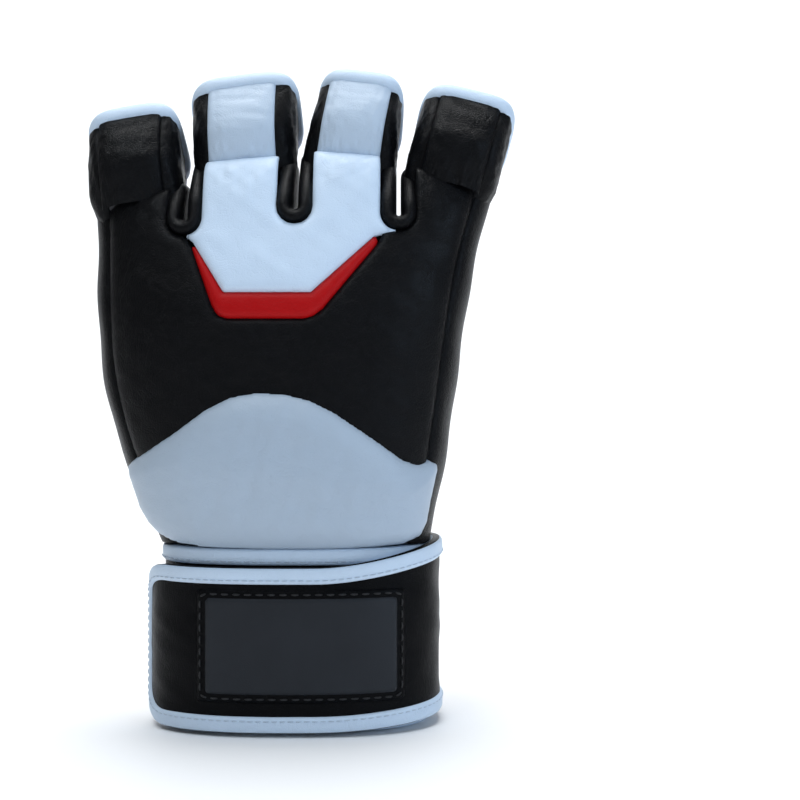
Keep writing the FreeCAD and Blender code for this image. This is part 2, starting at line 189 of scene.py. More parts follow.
def rolled(t):
    """Drop of a quarter round: 1 at t = 0, and nothing from t = 1 on."""
    return 1 - np.sqrt(np.clip(1 - (1 - np.clip(t, 0, 1)) ** 2, 0, 1))


def oval_depth(u):
    """Depth of a unit oval at u across its half width."""
    return np.clip(1 - np.abs(u) ** ROUNDNESS, 0, 1) ** (1 / ROUNDNESS)


def with_height(surface, p, q, h, step=0.4):
    """Points of surface(p, q), moved h along its outward normal."""
    base = surface(p, q)
    along_p = surface(p + step, q) - surface(p - step, q)
    along_q = surface(p, q + step) - surface(p, q - step)
    normal = np.cross(along_p, along_q)
    length = np.linalg.norm(normal, axis=-1, keepdims=True)
    normal = normal / np.where(length < 1e-9, 1, length)
    return base + normal * np.asarray(h)[..., None]


def back_surface(x, z):
    """The back of the hand over the front view; its outward normal is p cross q."""
    left, right, front, wide = (station_value(z, c) for c in (1, 2, 3, 5))
    u = (x - (left + right) / 2) / ((right - left) / 2)
    return np.stack([x, wide - (wide - front) * oval_depth(u), z], -1)


def palm_surface(x, z):
    """The palm over the mirrored front view."""
    left, right, back, wide = (station_value(z, c) for c in (1, 2, 4, 5))
    u = (-x - (left + right) / 2) / ((right - left) / 2)
    return np.stack([-x, wide + (back - wide) * oval_depth(u), z], -1)


def hand_surface(angle, z):
    """The hand form by turn in hundredths of a radian: 0 on the thumb side, the back below 0."""
    a = np.asarray(angle, float) / 100
    left, right, front, back, wide = (station_value(z, c) for c in (1, 2, 3, 4, 5))
    c, s = np.cos(a), np.sin(a)
    depth = np.where(s > 0, back - wide, wide - front)
    x = (left + right) / 2 + (right - left) / 2 * signed(c, 2 / ROUNDNESS)
    y = wide + depth * signed(s, 2 / ROUNDNESS)
    return np.stack([x, y, z + 0 * x], -1)


class Oval:
    """Closed oval of the cuff, walked by arc length from the palm seam round the thumb side."""

    def __init__(self, grow):
        s = sizes()
        t = np.linspace(0, 2 * math.pi, 1441)[:-1]
        c, n = np.cos(t), np.sin(t)
        half = s.cuff_half + grow
        depth = np.where(n > 0, s.cuff_back + grow, s.cuff_front + grow)
        x = half * signed(c, 2 / ROUNDNESS)
        y = depth * signed(n, 2 / ROUNDNESS)
        start = np.argmin(np.abs(x - s.strap_seam_x) + 1000 * (y < 0))
        order = (start - np.arange(len(t) + 1)) % len(t)
        self.x, self.y = x[order], y[order]
        self.at = np.concatenate([[0], np.cumsum(np.hypot(np.diff(self.x), np.diff(self.y)))])
        self.length = self.at[-1]
        corner = np.argmin(np.abs(np.degrees(t[order % len(t)]) - 180))
        self.silhouette = self.at[corner]

    def surface(self, p, z):
        """Outside of the oval seen from outside: p runs to the viewer's right on the back."""
        a = np.mod(-np.asarray(p, float), self.length)
        x, y = np.interp(a, self.at, self.x), np.interp(a, self.at, self.y)
        return np.stack([x, y, np.asarray(z, float) + 0 * x], -1)

    def arc_at(self, x, front=True):
        """p of the point with this x, on the back of the wrist or on the palm."""
        wanted = np.abs(self.x - x) + 1000 * ((self.y > 0) if front else (self.y < 0))
        return -self.at[np.argmin(wanted)]


# --- outlines ---------------------------------------------------------------------------------


def nearest(points, outline):
    """Nearest point of a closed outline, and the distance to it, negative inside."""
    a, b = outline, np.roll(outline, -1, 0)
    d = b - a
    near = np.empty_like(points)
    distance = np.empty(len(points))
    for start in range(0, len(points), 4000):
        p = points[start : start + 4000, None, :]
        t = np.clip(((p - a) * d).sum(-1) / np.maximum((d * d).sum(-1), 1e-12), 0, 1)
        q = a + t[..., None] * d
        r = np.linalg.norm(p - q, axis=-1)
        k = r.argmin(1)
        rows = np.arange(len(k))
        crossing = (a[:, 1] > p[..., 1]) != (b[:, 1] > p[..., 1])
        rise = np.where(np.abs(d[:, 1]) < 1e-12, 1e-12, d[:, 1])
        hit = p[..., 0] < a[:, 0] + (p[..., 1] - a[:, 1]) * d[:, 0] / rise
        inside = (crossing & hit).sum(1) % 2 == 1
        near[start : start + 4000] = q[rows, k]
        distance[start : start + 4000] = np.where(inside, -r[rows, k], r[rows, k])
    return near, distance


def region_distance(points, outlines):
    """Signed distance to a region: the first outline less the others, and its nearest edge point."""
    near, distance = nearest(points, outlines[0])
    for hole in outlines[1:]:
        hole_near, hole_distance = nearest(points, hole)
        swap = -hole_distance > distance
        near[swap], distance = hole_near[swap], np.maximum(distance, -hole_distance)
    return near, distance


def arc(cx, cz, radius, start, stop, count=12):
    t = np.radians(np.linspace(start, stop, count))
    return [(cx + radius * math.cos(a), cz + radius * math.sin(a)) for a in t]


def rounded(x0, x1, z0, z1, radius, wide=None):
    """Rounded rectangle, with corners that may be wider than they are tall."""
    wide = wide or radius
    points = []
    for cx, cz, start in (
        (x1 - wide, z1 - radius, 0), (x0 + wide, z1 - radius, 90),
        (x0 + wide, z0 + radius, 180), (x1 - wide, z0 + radius, 270),
    ):
        for t in np.radians(np.linspace(start, start + 90, 10)):
            points.append((cx + wide * math.cos(t), cz + radius * math.sin(t)))
    return np.array(points)


def along(outline, step, closed=True):
    """The outline walked in even steps."""
    points = np.asarray(outline, float)
    if closed:
        points = np.vstack([points, points[:1]])
    at = np.concatenate([[0], np.cumsum(np.linalg.norm(np.diff(points, axis=0), axis=1))])
    count = max(int(round(at[-1] / step)), 3)
    where = np.linspace(0, at[-1], count + (0 if closed else 1), endpoint=not closed)
    return np.stack([np.interp(where, at, points[:, i]) for i in range(points.shape[1])], -1)


def path_normals(path, closed):
    """Left-hand normals of a path in its own plane."""
    if closed:
        d = np.roll(path, -1, 0) - np.roll(path, 1, 0)
    else:
        d = np.gradient(path, axis=0)
    d /= np.maximum(np.linalg.norm(d, axis=1, keepdims=True), 1e-9)
    return np.stack([-d[:, 1], d[:, 0]], -1)


# --- meshes -----------------------------------------------------------------------------------


def make(name, vertices, faces, material, uv=None):
    """New object from millimetre vertices; uv gives each vertex its place on the flat material."""
    mesh = bpy.data.meshes.new(name)
    mesh.from_pydata(to_row(vertices).tolist(), [], [list(map(int, f)) for f in faces])
    mesh.validate()
    if uv is not None:
        layer = mesh.uv_layers.new(name="cloth")
        index = np.zeros(len(mesh.loops), int)
        mesh.loops.foreach_get("vertex_index", index)
        layer.data.foreach_set("uv", (np.asarray(uv, float)[index] * 0.001).ravel())
    mesh.polygons.foreach_set("use_smooth", [True] * len(mesh.polygons))
    mesh.materials.append(material)
    piece = bpy.data.objects.new(name, mesh)
    bpy.context.collection.objects.link(piece)
    return piece


def panel(name, outlines, surface, height, material, cell=None, skirt=2.0):
    """Leather or mesh panel over a region of a surface.

    height(distance inside the edge, points) gives how far it stands off the surface.
    """
    cell = cell or sizes().cell
    outlines = [np.asarray(o, float) for o in outlines]
    low, high = outlines[0].min(0), outlines[0].max(0)
    count = np.ceil((high - low) / cell).astype(int) + 1
    gp = low[0] + np.arange(count[0] + 1) * cell - cell / 2
    gq = low[1] + np.arange(count[1] + 1) * cell - cell / 2
    grid = np.stack(np.meshgrid(gp, gq, indexing="ij"), -1).reshape(-1, 2)
    near, distance = region_distance(grid, outlines)
    columns = len(gq)
    i, j = np.meshgrid(np.arange(len(gp) - 1), np.arange(len(gq) - 1), indexing="ij")
    a = (i * columns + j).ravel()
    quads = np.stack([a, a + columns, a + columns + 1, a + 1], -1)
    quads = quads[(distance[quads] < 0.42 * cell).all(1)]
    edges = np.concatenate([quads[:, [k, (k + 1) % 4]] for k in range(4)])
    key, seen = np.unique(np.sort(edges, 1), axis=0, return_counts=True)
    rim = set(map(tuple, key[seen == 1]))
    border = np.array(sorted({v for edge in rim for v in edge}))
    grid[border] = near[border]
    distance[border] = 0
    used = np.unique(quads)
    number = np.full(len(grid), -1)
    number[used] = np.arange(len(used))
    flat = grid[used]
    faces = number[quads]
    inside = np.maximum(-distance[used], 0)
    points = with_height(surface, flat[:, 0], flat[:, 1], height(inside, flat))
    vertices, faces, uv = list(points), faces.tolist(), list(flat)
    if skirt:
        sunk = with_height(surface, flat[:, 0], flat[:, 1], height(inside, flat) - skirt)
        below = {}
        for v in number[border]:
            below[v] = len(vertices)
            vertices.append(sunk[v])
            uv.append(flat[v])
        for face in faces[: len(faces)]:
            for k in range(4):
                p, q = face[k], face[(k + 1) % 4]
                if p in below and q in below and tuple(sorted((used[p], used[q]))) in rim:
                    faces.append([q, p, below[p], below[q]])
    return make(name, np.array(vertices), faces, material, uv=uv)


def sweep(name, path, closed, profile, surface, material):
    """Profile (inset from the path, height) carried along a path on a surface."""
    normals = path_normals(path, closed)
    rows = []
    for inset, height in profile:
        p = path + normals * inset
        rows.append(with_height(surface, p[:, 0], p[:, 1], np.full(len(p), float(height))))
    points = np.stack(rows, 1)
    return grid_mesh(name, points, closed, material)


def grid_mesh(name, points, closed, material):
    """Mesh over an array of points [along, across]."""
    n, m = points.shape[:2]
    faces = []
    for i in range(n if closed else n - 1):
        k = (i + 1) % n
        for j in range(m - 1):
            faces.append([i * m + j, k * m + j, k * m + j + 1, i * m + j + 1])
    step = np.linalg.norm(np.diff(points, axis=0), axis=-1).mean(1)
    at = np.concatenate([[0], np.cumsum(step)])
    across = np.concatenate([[0], np.cumsum(np.linalg.norm(np.diff(points[0], axis=0), axis=-1))])
    uv = np.stack(np.meshgrid(at, across, indexing="ij"), -1).reshape(-1, 2)
    return make(name, points.reshape(-1, 3), faces, material, uv=uv)


def ring_mesh(name, centres, radius, material, up, sides=20):
    """Closed round tube along a 3-D line of points."""
    d = np.roll(centres, -1, 0) - np.roll(centres, 1, 0)
    d /= np.maximum(np.linalg.norm(d, axis=1, keepdims=True), 1e-9)
    side = np.cross(d, np.asarray(up, float))
    side /= np.maximum(np.linalg.norm(side, axis=-1, keepdims=True), 1e-9)
    other = np.cross(side, d)
    t = np.linspace(0, 2 * math.pi, sides + 1)
    ring = side[:, None] * np.cos(t)[None, :, None] + other[:, None] * np.sin(t)[None, :, None]
    return grid_mesh(name, centres[:, None] + radius * ring, True, material)


def stitch_mesh(name, rows, material, stitch=2.6, gap=1.3, radius=0.34):
    """Threads of several seams as one mesh. A row is (points in 3-D, outward normals)."""
    vertices, faces = [], []
    ring = [(math.cos(a), math.sin(a)) for a in np.linspace(0, 2 * math.pi, 7)[:-1]]
    profile = ((0.0, 0.25), (0.12, 0.85), (0.5, 1.1), (0.88, 0.85), (1.0, 0.25))
    for points, normals in rows:
        at = np.concatenate([[0], np.cumsum(np.linalg.norm(np.diff(points, axis=0), axis=1))])
        count = int(at[-1] / (stitch + gap))
        for k in range(count):
            start = (k + 0.15) * at[-1] / max(count, 1)
            a = np.array([np.interp(start, at, points[:, i]) for i in range(3)])
            b = np.array([np.interp(start + stitch, at, points[:, i]) for i in range(3)])
            n = np.array([np.interp(start, at, normals[:, i]) for i in range(3)])
            d = (b - a) / max(np.linalg.norm(b - a), 1e-9)
            side = np.cross(d, n)
            side /= max(np.linalg.norm(side), 1e-9)
            first = len(vertices)
            for t, r in profile:
                lift = 0.25 * radius + 1.1 * radius * math.sin(math.pi * t)
                middle = a + (b - a) * t + n * (lift - radius * 0.5)
                for c, s in ring:
                    vertices.append(middle + radius * r * (side * c + n * s * 0.8))
            for i in range(len(profile) - 1):
                for j in range(6):
                    p, q = first + i * 6 + j, first + i * 6 + (j + 1) % 6
                    faces.append([p, q, q + 6, p + 6])
            faces.append([first + j for j in range(6)][::-1])
            last = first + (len(profile) - 1) * 6
            faces.append([last + j for j in range(6)])
    return make(name, np.array(vertices), faces, material)


def seam_row(path, surface, height, closed=False):
    """A stitch row on a surface: its points and its outward normals."""
    path = along(path, 0.8, closed)
    if closed:
        path = np.vstack([path, path[:1]])
    low = with_height(surface, path[:, 0], path[:, 1], np.broadcast_to(height, len(path)))
    high = with_height(surface, path[:, 0], path[:, 1], np.broadcast_to(height, len(path)) + 1.0)
    return low, high - low


def noise(points, scale, seed=0):
    """Smooth pseudo-random height over flat points, about -1 to 1."""
    rng = np.random.default_rng(seed)
    total = np.zeros(len(points))
    for octave in range(7):
        k = rng.normal(size=2)
        k *= (1 + 0.55 * octave) / (scale * max(np.linalg.norm(k), 1e-6))
        bend = 1.7 * np.sin(points @ rng.normal(size=2) / (scale * 1.9) + rng.uniform(0, 6))
        total += np.sin(2 * math.pi * (points @ k) + bend + rng.uniform(0, 6)) / (1 + 0.5 * octave)
    return total / 2.4


def pillow(depth, width):
    """Height that rolls a panel's edge down into its seam."""
    return lambda inside, flat: -depth * rolled(inside / width)


# --- pieces -----------------------------------------------------------------------------------


# How deep the back rolls down at the finger creases, over what length, and how far past a
# finger's hinge its crease lies.
CREASE_SINK, CREASE_ROLL, CREASE_RISE = 5.2, 8.0, 4.0


def back_height(inside, flat):
    """Stand-off of the back panels: edges pulled into their seams, tops rolled into the creases."""
    s = sizes()
    drop = np.clip(crease_line(flat[:, 0]) - flat[:, 1], 0, 60)
    near = np.exp(-((drop - 9.0) / 7.0) ** 2)
    h = -s.seam_depth * rolled(inside / s.seam_width) - CREASE_SINK * rolled(drop / CREASE_ROLL)
    swell = sum(np.exp(-((flat[:, 0] - f.x) / 11.0) ** 2) for f in FINGERS)
    h = h + 1.1 * swell * np.exp(-((drop - 13.0) / 11.0) ** 2)
    h = h + 0.32 * near * noise(flat * [1.0, 0.55], 7.0, 3) * np.clip(inside / 3, 0, 1)
    return h + 0.22 * noise(flat, 24.0, 5) * np.clip(inside / 6, 0, 1)


def crease_line(x):
    """Height at which the back panels roll into the finger creases."""
    x = np.asarray(x, float)
    top = np.full(x.shape, 0.0)
    bounds = (-200.0,) + SLOTS + (200.0,)
    for k, f in enumerate(FINGERS):
        here = (x >= bounds[k]) & (x < bounds[k + 1])
        top = np.where(here, f.z + CREASE_RISE - (x - f.x) * math.tan(math.radians(f.tilt)), top)
    return top


def slot_arc(number, start, stop):
    """Edge of the panels round the foot of a slot."""
    s = sizes()
    radius = s.slot_half_gap + s.slot_gusset
    return arc(SLOTS[number], SLOT_FEET[number] + radius, radius, start, stop, 9)


def side_edge(column, inset, low, high, count=14):
    """Points up one side of the hand, inset from its edge."""
    z = np.linspace(low, high, count)
    sign = 1 if column == 1 else -1
    return list(zip(station_value(z, column) + sign * inset, z))


ARCH = ((-57.0, 90.5), (-50.0, 94.5), (-39.3, 101.2), (-28.1, 109.2), (-20.0, 113.2), (-12.0, 114.6),
        (-2.0, 114.4), (7.0, 112.2), (15.0, 108.2), (28.6, 99.0), (37.8, 92.2), (43.0, 90.2),
        (47.0, 91.4), (49.5, 90.6))
KNUCKLE_FLOOR = ((28.5, 168.2), (7.0, 148.3), (-22.5, 148.3), (-33.8, 166.2))
TRIM_FLOOR = ((-33.6, 163.2), (-26.2, 143.4), (-24.2, 140.3), (-21.0, 139.3), (5.0, 139.3),
              (8.0, 140.3), (11.0, 142.6), (29.6, 165.6))
WRIST_PAD_FOOT = ((49.8, 88.0), (47.6, 78.0), (46.2, 70.0), (43.8, 64.8), (38.0, 62.4), (14.0, 61.3),
                  (-9.0, 61.3), (-30.0, 61.8), (-40.0, 63.0), (-46.0, 65.4), (-50.4, 69.0),
                  (-54.0, 75.0), (-57.0, 86.0))


class GLOVE_OT_back(Operator):
    """White knuckle panel, red trim and black back panel, each drawn into its seams."""

    bl_idname = "glove.back"
    bl_label = "Back of the hand"

    def execute(self, context):
        s = sizes()
        reach = s.slot_half_gap + s.slot_gusset
        one, two, three = SLOTS
        top = lambda x: (x, float(crease_line(np.array([x]))[0]))
        white = (
            [(one, SLOT_FEET[0])] + slot_arc(0, -90, 0) + [top(one + reach), top(two - reach)]
            + slot_arc(1, 180, 360) + [top(two + reach), top(three - reach - 0.01)]
            + slot_arc(2, 180, 270) + list(KNUCKLE_FLOOR)
        )
        red = list(KNUCKLE_FLOOR)[::-1] + list(TRIM_FLOOR)[::-1]
        crease_left = top(one - reach)
        side_low = 88.0
        left = side_edge(1, s.side_lap, side_low, top(-66.0)[1])
        right = side_edge(2, s.side_lap, side_low, top(62.0)[1] - 1.0)
        black = (
            [(x, z - 4.0) for x, z in ARCH] + right + [top(three + reach)]
            + slot_arc(2, 0, -90) + [(three - 5.0, SLOT_FEET[2] - 0.9)] + list(TRIM_FLOOR)[::-1]
            + [(one + 1.6, SLOT_FEET[0] - 2.0)] + slot_arc(0, 270, 180) + [crease_left] + left[::-1]
        )
        materials = glove_materials()
        made = (
            ("knuckle_leather", white, materials["white"], "white_leather", 0.35, ["knuckle_panel"]),
            ("knuckle_trim_leather", red, materials["red"], "red_leather", 0.1, ["knuckle_trim"]),
            ("back_leather", black, materials["black"], "black_leather", 0.0, ["back_panel", "back_foam"]),
        )
        for name, outline, material, slot, lift, nodes in made:
            height = lambda inside, flat, lift=lift: back_height(inside, flat) + lift
            piece = panel(name, [np.array(outline)], back_surface, height, material)
            finish_piece(piece, "hand", slot, nodes)
        return {"FINISHED"}


def finish_piece(piece, body, slot, nodes=(), blend=None):
    if blend:
        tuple(blend[2])
        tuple(blend[3])
        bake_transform(piece)
    else:
        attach(piece, body)
    if nodes:
        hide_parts(*nodes)
    return piece


# The wrist pad's crown, how deep its edge is drawn in, and how far from its edge it is full.
CROWN, CROWN_SINK, CROWN_EDGE = 5.4, 1.2, 11.0


class GLOVE_OT_wrist_pad(Operator):
    """White pillow over the wrist, under the arch of the back panel."""

    bl_idname = "glove.wrist_pad"
    bl_label = "Wrist pad"

    def execute(self, context):
        def height(inside, flat):
            dome = 1 - rolled(inside / CROWN_EDGE)
            folds = 0.35 * noise(flat * [0.8, 1.0], 16.0, 11) * np.clip(inside / 8, 0, 1)
            return -CROWN_SINK + CROWN * dome + 0.8 * np.clip(inside / 26, 0, 1) + folds

        outline = np.array(ARCH + WRIST_PAD_FOOT)
        # The pad takes a darker copy of the white leather: painted shade for the light falling off towards
        # the wrist.
        white = glove_materials()["wrist"]
        piece = panel("wrist_pad_leather", [outline], back_surface, height, white, skirt=3.0)
        nodes = ["wrist_pad_cover", "wrist_pad_foam"]
        finish_piece(piece, "hand", "white_leather", nodes)
        return {"FINISHED"}


# Strips down the hand's sides: their lowest row, their highest on either side, and how far they
# sink at the finger creases: at the front edge, and how much less from the middle on.
STRIP_LOW, STRIP_TOPS, STRIP_SINK = 62.5, {-1: 186.0, 1: 187.0}, (5.6, 3.6)
# Rolled gussets: heights of the two arms' ends, the length over which an end closes, and the
# length and depth of its dive in under the finger's own gusset.
ROLL_TOPS = ((189.0, 197.5), (199.0, 200.5), (198.0, 194.5))
ROLL_CLOSING, ROLL_DIVING, ROLL_DIVE = 4.0, 17.0, 8.5


def side_strip(side):
    """Points of the strip down one side of the hand: -1 is the little finger's side, 1 the thumb's."""
    s = sizes()
    slack, columns, rows = 0.2, 34, []
    share = np.linspace(0, 1, columns)
    edge = np.minimum(share, 1 - share) * 2
    front_share = share if side > 0 else 1 - share
    sink = STRIP_SINK[0] - STRIP_SINK[1] * np.clip(front_share / 0.5, 0, 1)
    for height in np.linspace(STRIP_LOW, STRIP_TOPS[side], 130):
        half = (station_value(height, 2) - station_value(height, 1)) / 2
        front, back = (
            math.acos(min((1 - (lap + slack) / half) ** (ROUNDNESS / 2), 1))
            for lap in (s.side_lap, s.palm_lap)
        )
        a = np.linspace(-front, back, columns)
        if side < 0:
            a = math.pi - a[::-1]
        wave = 0.25 * np.sin(height * 0.21 + share * 3)
        roll = rolled((float(crease_line(side * 66.0)) - height) / CREASE_ROLL)
        h = -1.5 * rolled(edge / 0.3) + wave - roll * sink
        rows.append(with_height(hand_surface, a * 100, np.full(columns, height), h))
    return np.array(rows).transpose(1, 0, 2)


def slot_roll(centre, foot, tops):
    """Points of the rolled gusset of one slot, down one arm, round its foot and up the other."""
    s = sizes()
    radius = s.slot_half_gap + s.slot_gusset / 2 + 0.15
    turn_z = foot + s.slot_gusset / 2 + radius - 0.2
    path = [(centre - radius, z) for z in np.linspace(tops[0], turn_z, 16)]
    path += arc(centre, turn_z, radius, 180, 360, 17)[1:-1]
    path += [(centre + radius, z) for z in np.linspace(turn_z, tops[1], 16)]
    path = np.array(path)
    run = np.concatenate([[0], np.cumsum(np.hypot(*np.diff(path, axis=0).T))])
    to_end = np.minimum(run, run[-1] - run)
    ends = 1 - rolled(to_end / ROLL_CLOSING)
    dives = (1 - np.clip(to_end / ROLL_DIVING, 0, 1)) ** 1.6 * ROLL_DIVE
    t = np.linspace(0, 2 * math.pi, 33)
    rows = []
    for (x, z), n, close, dive in zip(path, path_normals(path, False), ends, dives):
        front = back_surface(np.array([x]), np.array([z]))[0, 1] - 1.2
        back = palm_surface(np.array([-x]), np.array([z]))[0, 1] + 0.6
        front += 0.34 * max(0.0, z - 180.0) * 0.9
        front += dive
        across = close * (s.slot_gusset / 2 + 0.45) * signed(np.cos(t), 0.9)
        y = (front + back) / 2 + (back - front) / 2 * signed(np.sin(t), 0.35)
        rows.append(np.stack([x + n[0] * across, y, z + n[1] * across], -1))
    return np.array(rows)


class GLOVE_OT_gussets(Operator):
    """Black strips down both sides of the hand, and the rolled gussets in the slots."""

    bl_idname = "glove.gussets"
    bl_label = "Gussets"

    def execute(self, context):
        black = glove_materials()["black"]
        for name, side in (("little_side_gusset", -1), ("thumb_side_gusset", 1)):
            piece = grid_mesh(name + "_leather", side_strip(side), False, black)
            finish_piece(piece, "hand", "black_leather", [name])
        names = ("little_ring", "ring_middle", "middle_index")
        for name, centre, foot, tops in zip(names, SLOTS, SLOT_FEET, ROLL_TOPS):
            piece = grid_mesh(name + "_slot_roll", slot_roll(centre, foot, tops), False, black)
            finish_piece(piece, "hand", "black_leather", [name + "_slot_gusset"])
        return {"FINISHED"}


def finger_to_hand(finger, points):
    """From a finger's own frame, at its hinge, to the hand's frame."""
    s = sizes()
    lean, curl = math.radians(finger.tilt), math.radians(s.finger_curl)
    x, y, z = np.moveaxis(np.asarray(points, float), -1, 0)
    y2 = y * math.cos(curl) + z * math.sin(curl)
    z2 = -y * math.sin(curl) + z * math.cos(curl)
    x3 = x * math.cos(lean) + z2 * math.sin(lean)
    z3 = -x * math.sin(lean) + z2 * math.cos(lean)
    front = linear_front(finger.z)
    return np.stack([finger.x + x3, front + s.crease_depth + y2, finger.z + z3], -1)


def linear_front(z):
    """Back surface at height z, straight between the stations, where the hinge lines are set out."""
    return float(np.interp(z, [row[0] for row in HAND_STATIONS], [row[3] for row in HAND_STATIONS]))


def finger_depths(finger, w):
    """Half width, pad depth, palm depth and widest line of a finger at w above its hinge."""
    s = sizes()
    share = np.asarray(w, float) / finger.length
    half = (finger.base + share * (finger.tip - finger.base)) / 2
    crease, tip = s.crease_depth - 3.2, s.tip_depth + 0.4
    rise = np.sin(np.clip(share / 0.42, -0.2, 1) * math.pi / 2)
    fall = np.clip((share - 0.52) / 0.5, 0, 1.3)
    depth = crease + (s.pad_depth + 0.3 - crease) * rise - (s.pad_depth - tip) * fall**1.8
    palm = s.finger_depth + share * (s.finger_tip_depth - s.finger_depth)
    return half, depth, palm, palm * 0.45


def finger_shear(finger):
    """How far a finger's middle moves sideways for each unit of its length."""
    return math.tan(math.radians(finger.lean - finger.tilt))


def squareness(finger, w):
    """Exponent of a finger's cross-section: it gets squarer towards the opening."""
    share = np.clip(np.asarray(w, float) / finger.length, 0, 1)
    return ROUNDNESS + 1.7 * share * share * (3 - 2 * share)


def seam_turn(finger, w):
    """Turn, from the side, at which the seam beside a finger's pad lies."""
    s = sizes()
    half = finger_depths(finger, w)[0]
    share = np.clip(s.pad_share * finger.base / 2 / half, 0.1, 0.98)
    return np.arccos(share ** (squareness(finger, w) / 2))


def finger_surface(finger, inset=0.0):
    """Outer surface of a finger section by turn (hundredths of a radian) and height."""
    def surface(p, w):
        a = np.asarray(p, float) / 100
        half, depth, palm, wide = finger_depths(finger, w)
        power = 2 / squareness(finger, w)
        c, n = np.cos(a), np.sin(a)
        reach = np.where(n > 0, palm - wide - inset, wide + depth - inset)
        x = (half - inset) * signed(c, power) + w * finger_shear(finger)
        y = wide + reach * signed(n, power)
        return finger_to_hand(finger, np.stack([x, y, w + 0 * a], -1))
    return surface


def mouth_height(finger, a):
    """Height of the slanted opening at each turn of the finger."""
    s = sizes()
    half, _, palm, wide = finger_depths(finger, finger.length)
    c, n = np.cos(a), np.sin(a)
    power = 2 / squareness(finger, finger.length)
    x = half * signed(c, power) + finger.length * finger_shear(finger)
    y = wide + np.where(n > 0, palm - wide, wide + s.tip_depth) * signed(n, power)
    roll = math.radians(finger.mouth_tilt - finger.tilt)
    return finger.length - y * math.tan(math.radians(s.opening_slant)) / math.cos(roll) - x * math.tan(roll)


def finger_grid(finger, start, stop, columns, rows, low):
    """Turn and height of a grid on a finger, from low to its binding, between two turning seams."""
    s = sizes()
    across = np.linspace(0, 1, columns)[:, None]
    up = np.linspace(0, 1, rows)[None, :]
    w = low + up * (finger.length - s.binding_width + 1.5 - low) + 0 * across
    for _ in range(3):
        a = start(w) * (1 - across) + stop(w) * across
        w = low + up * (mouth_height(finger, a[:, -1:]) - s.binding_width + 1.5 - low)
    return a, w


# Heights above the hinge at which the pieces of a finger begin, hidden under the back's crease.
PAD_LOW, GUSSET_LOW, OUTER_GUSSET_LOW, LINING_LOW = -2.5, -7.0, -3.0, -2.0
# Turn past the finger's widest line at which its gusset meets its mesh.
MESH_TURN = math.radians(7)
# How far a gusset bulges, and how far its lower end is tucked in.
GUSSET_PUFF, GUSSET_TUCK, OUTER_GUSSET_TUCK = 1.3, 3.2, 4.5


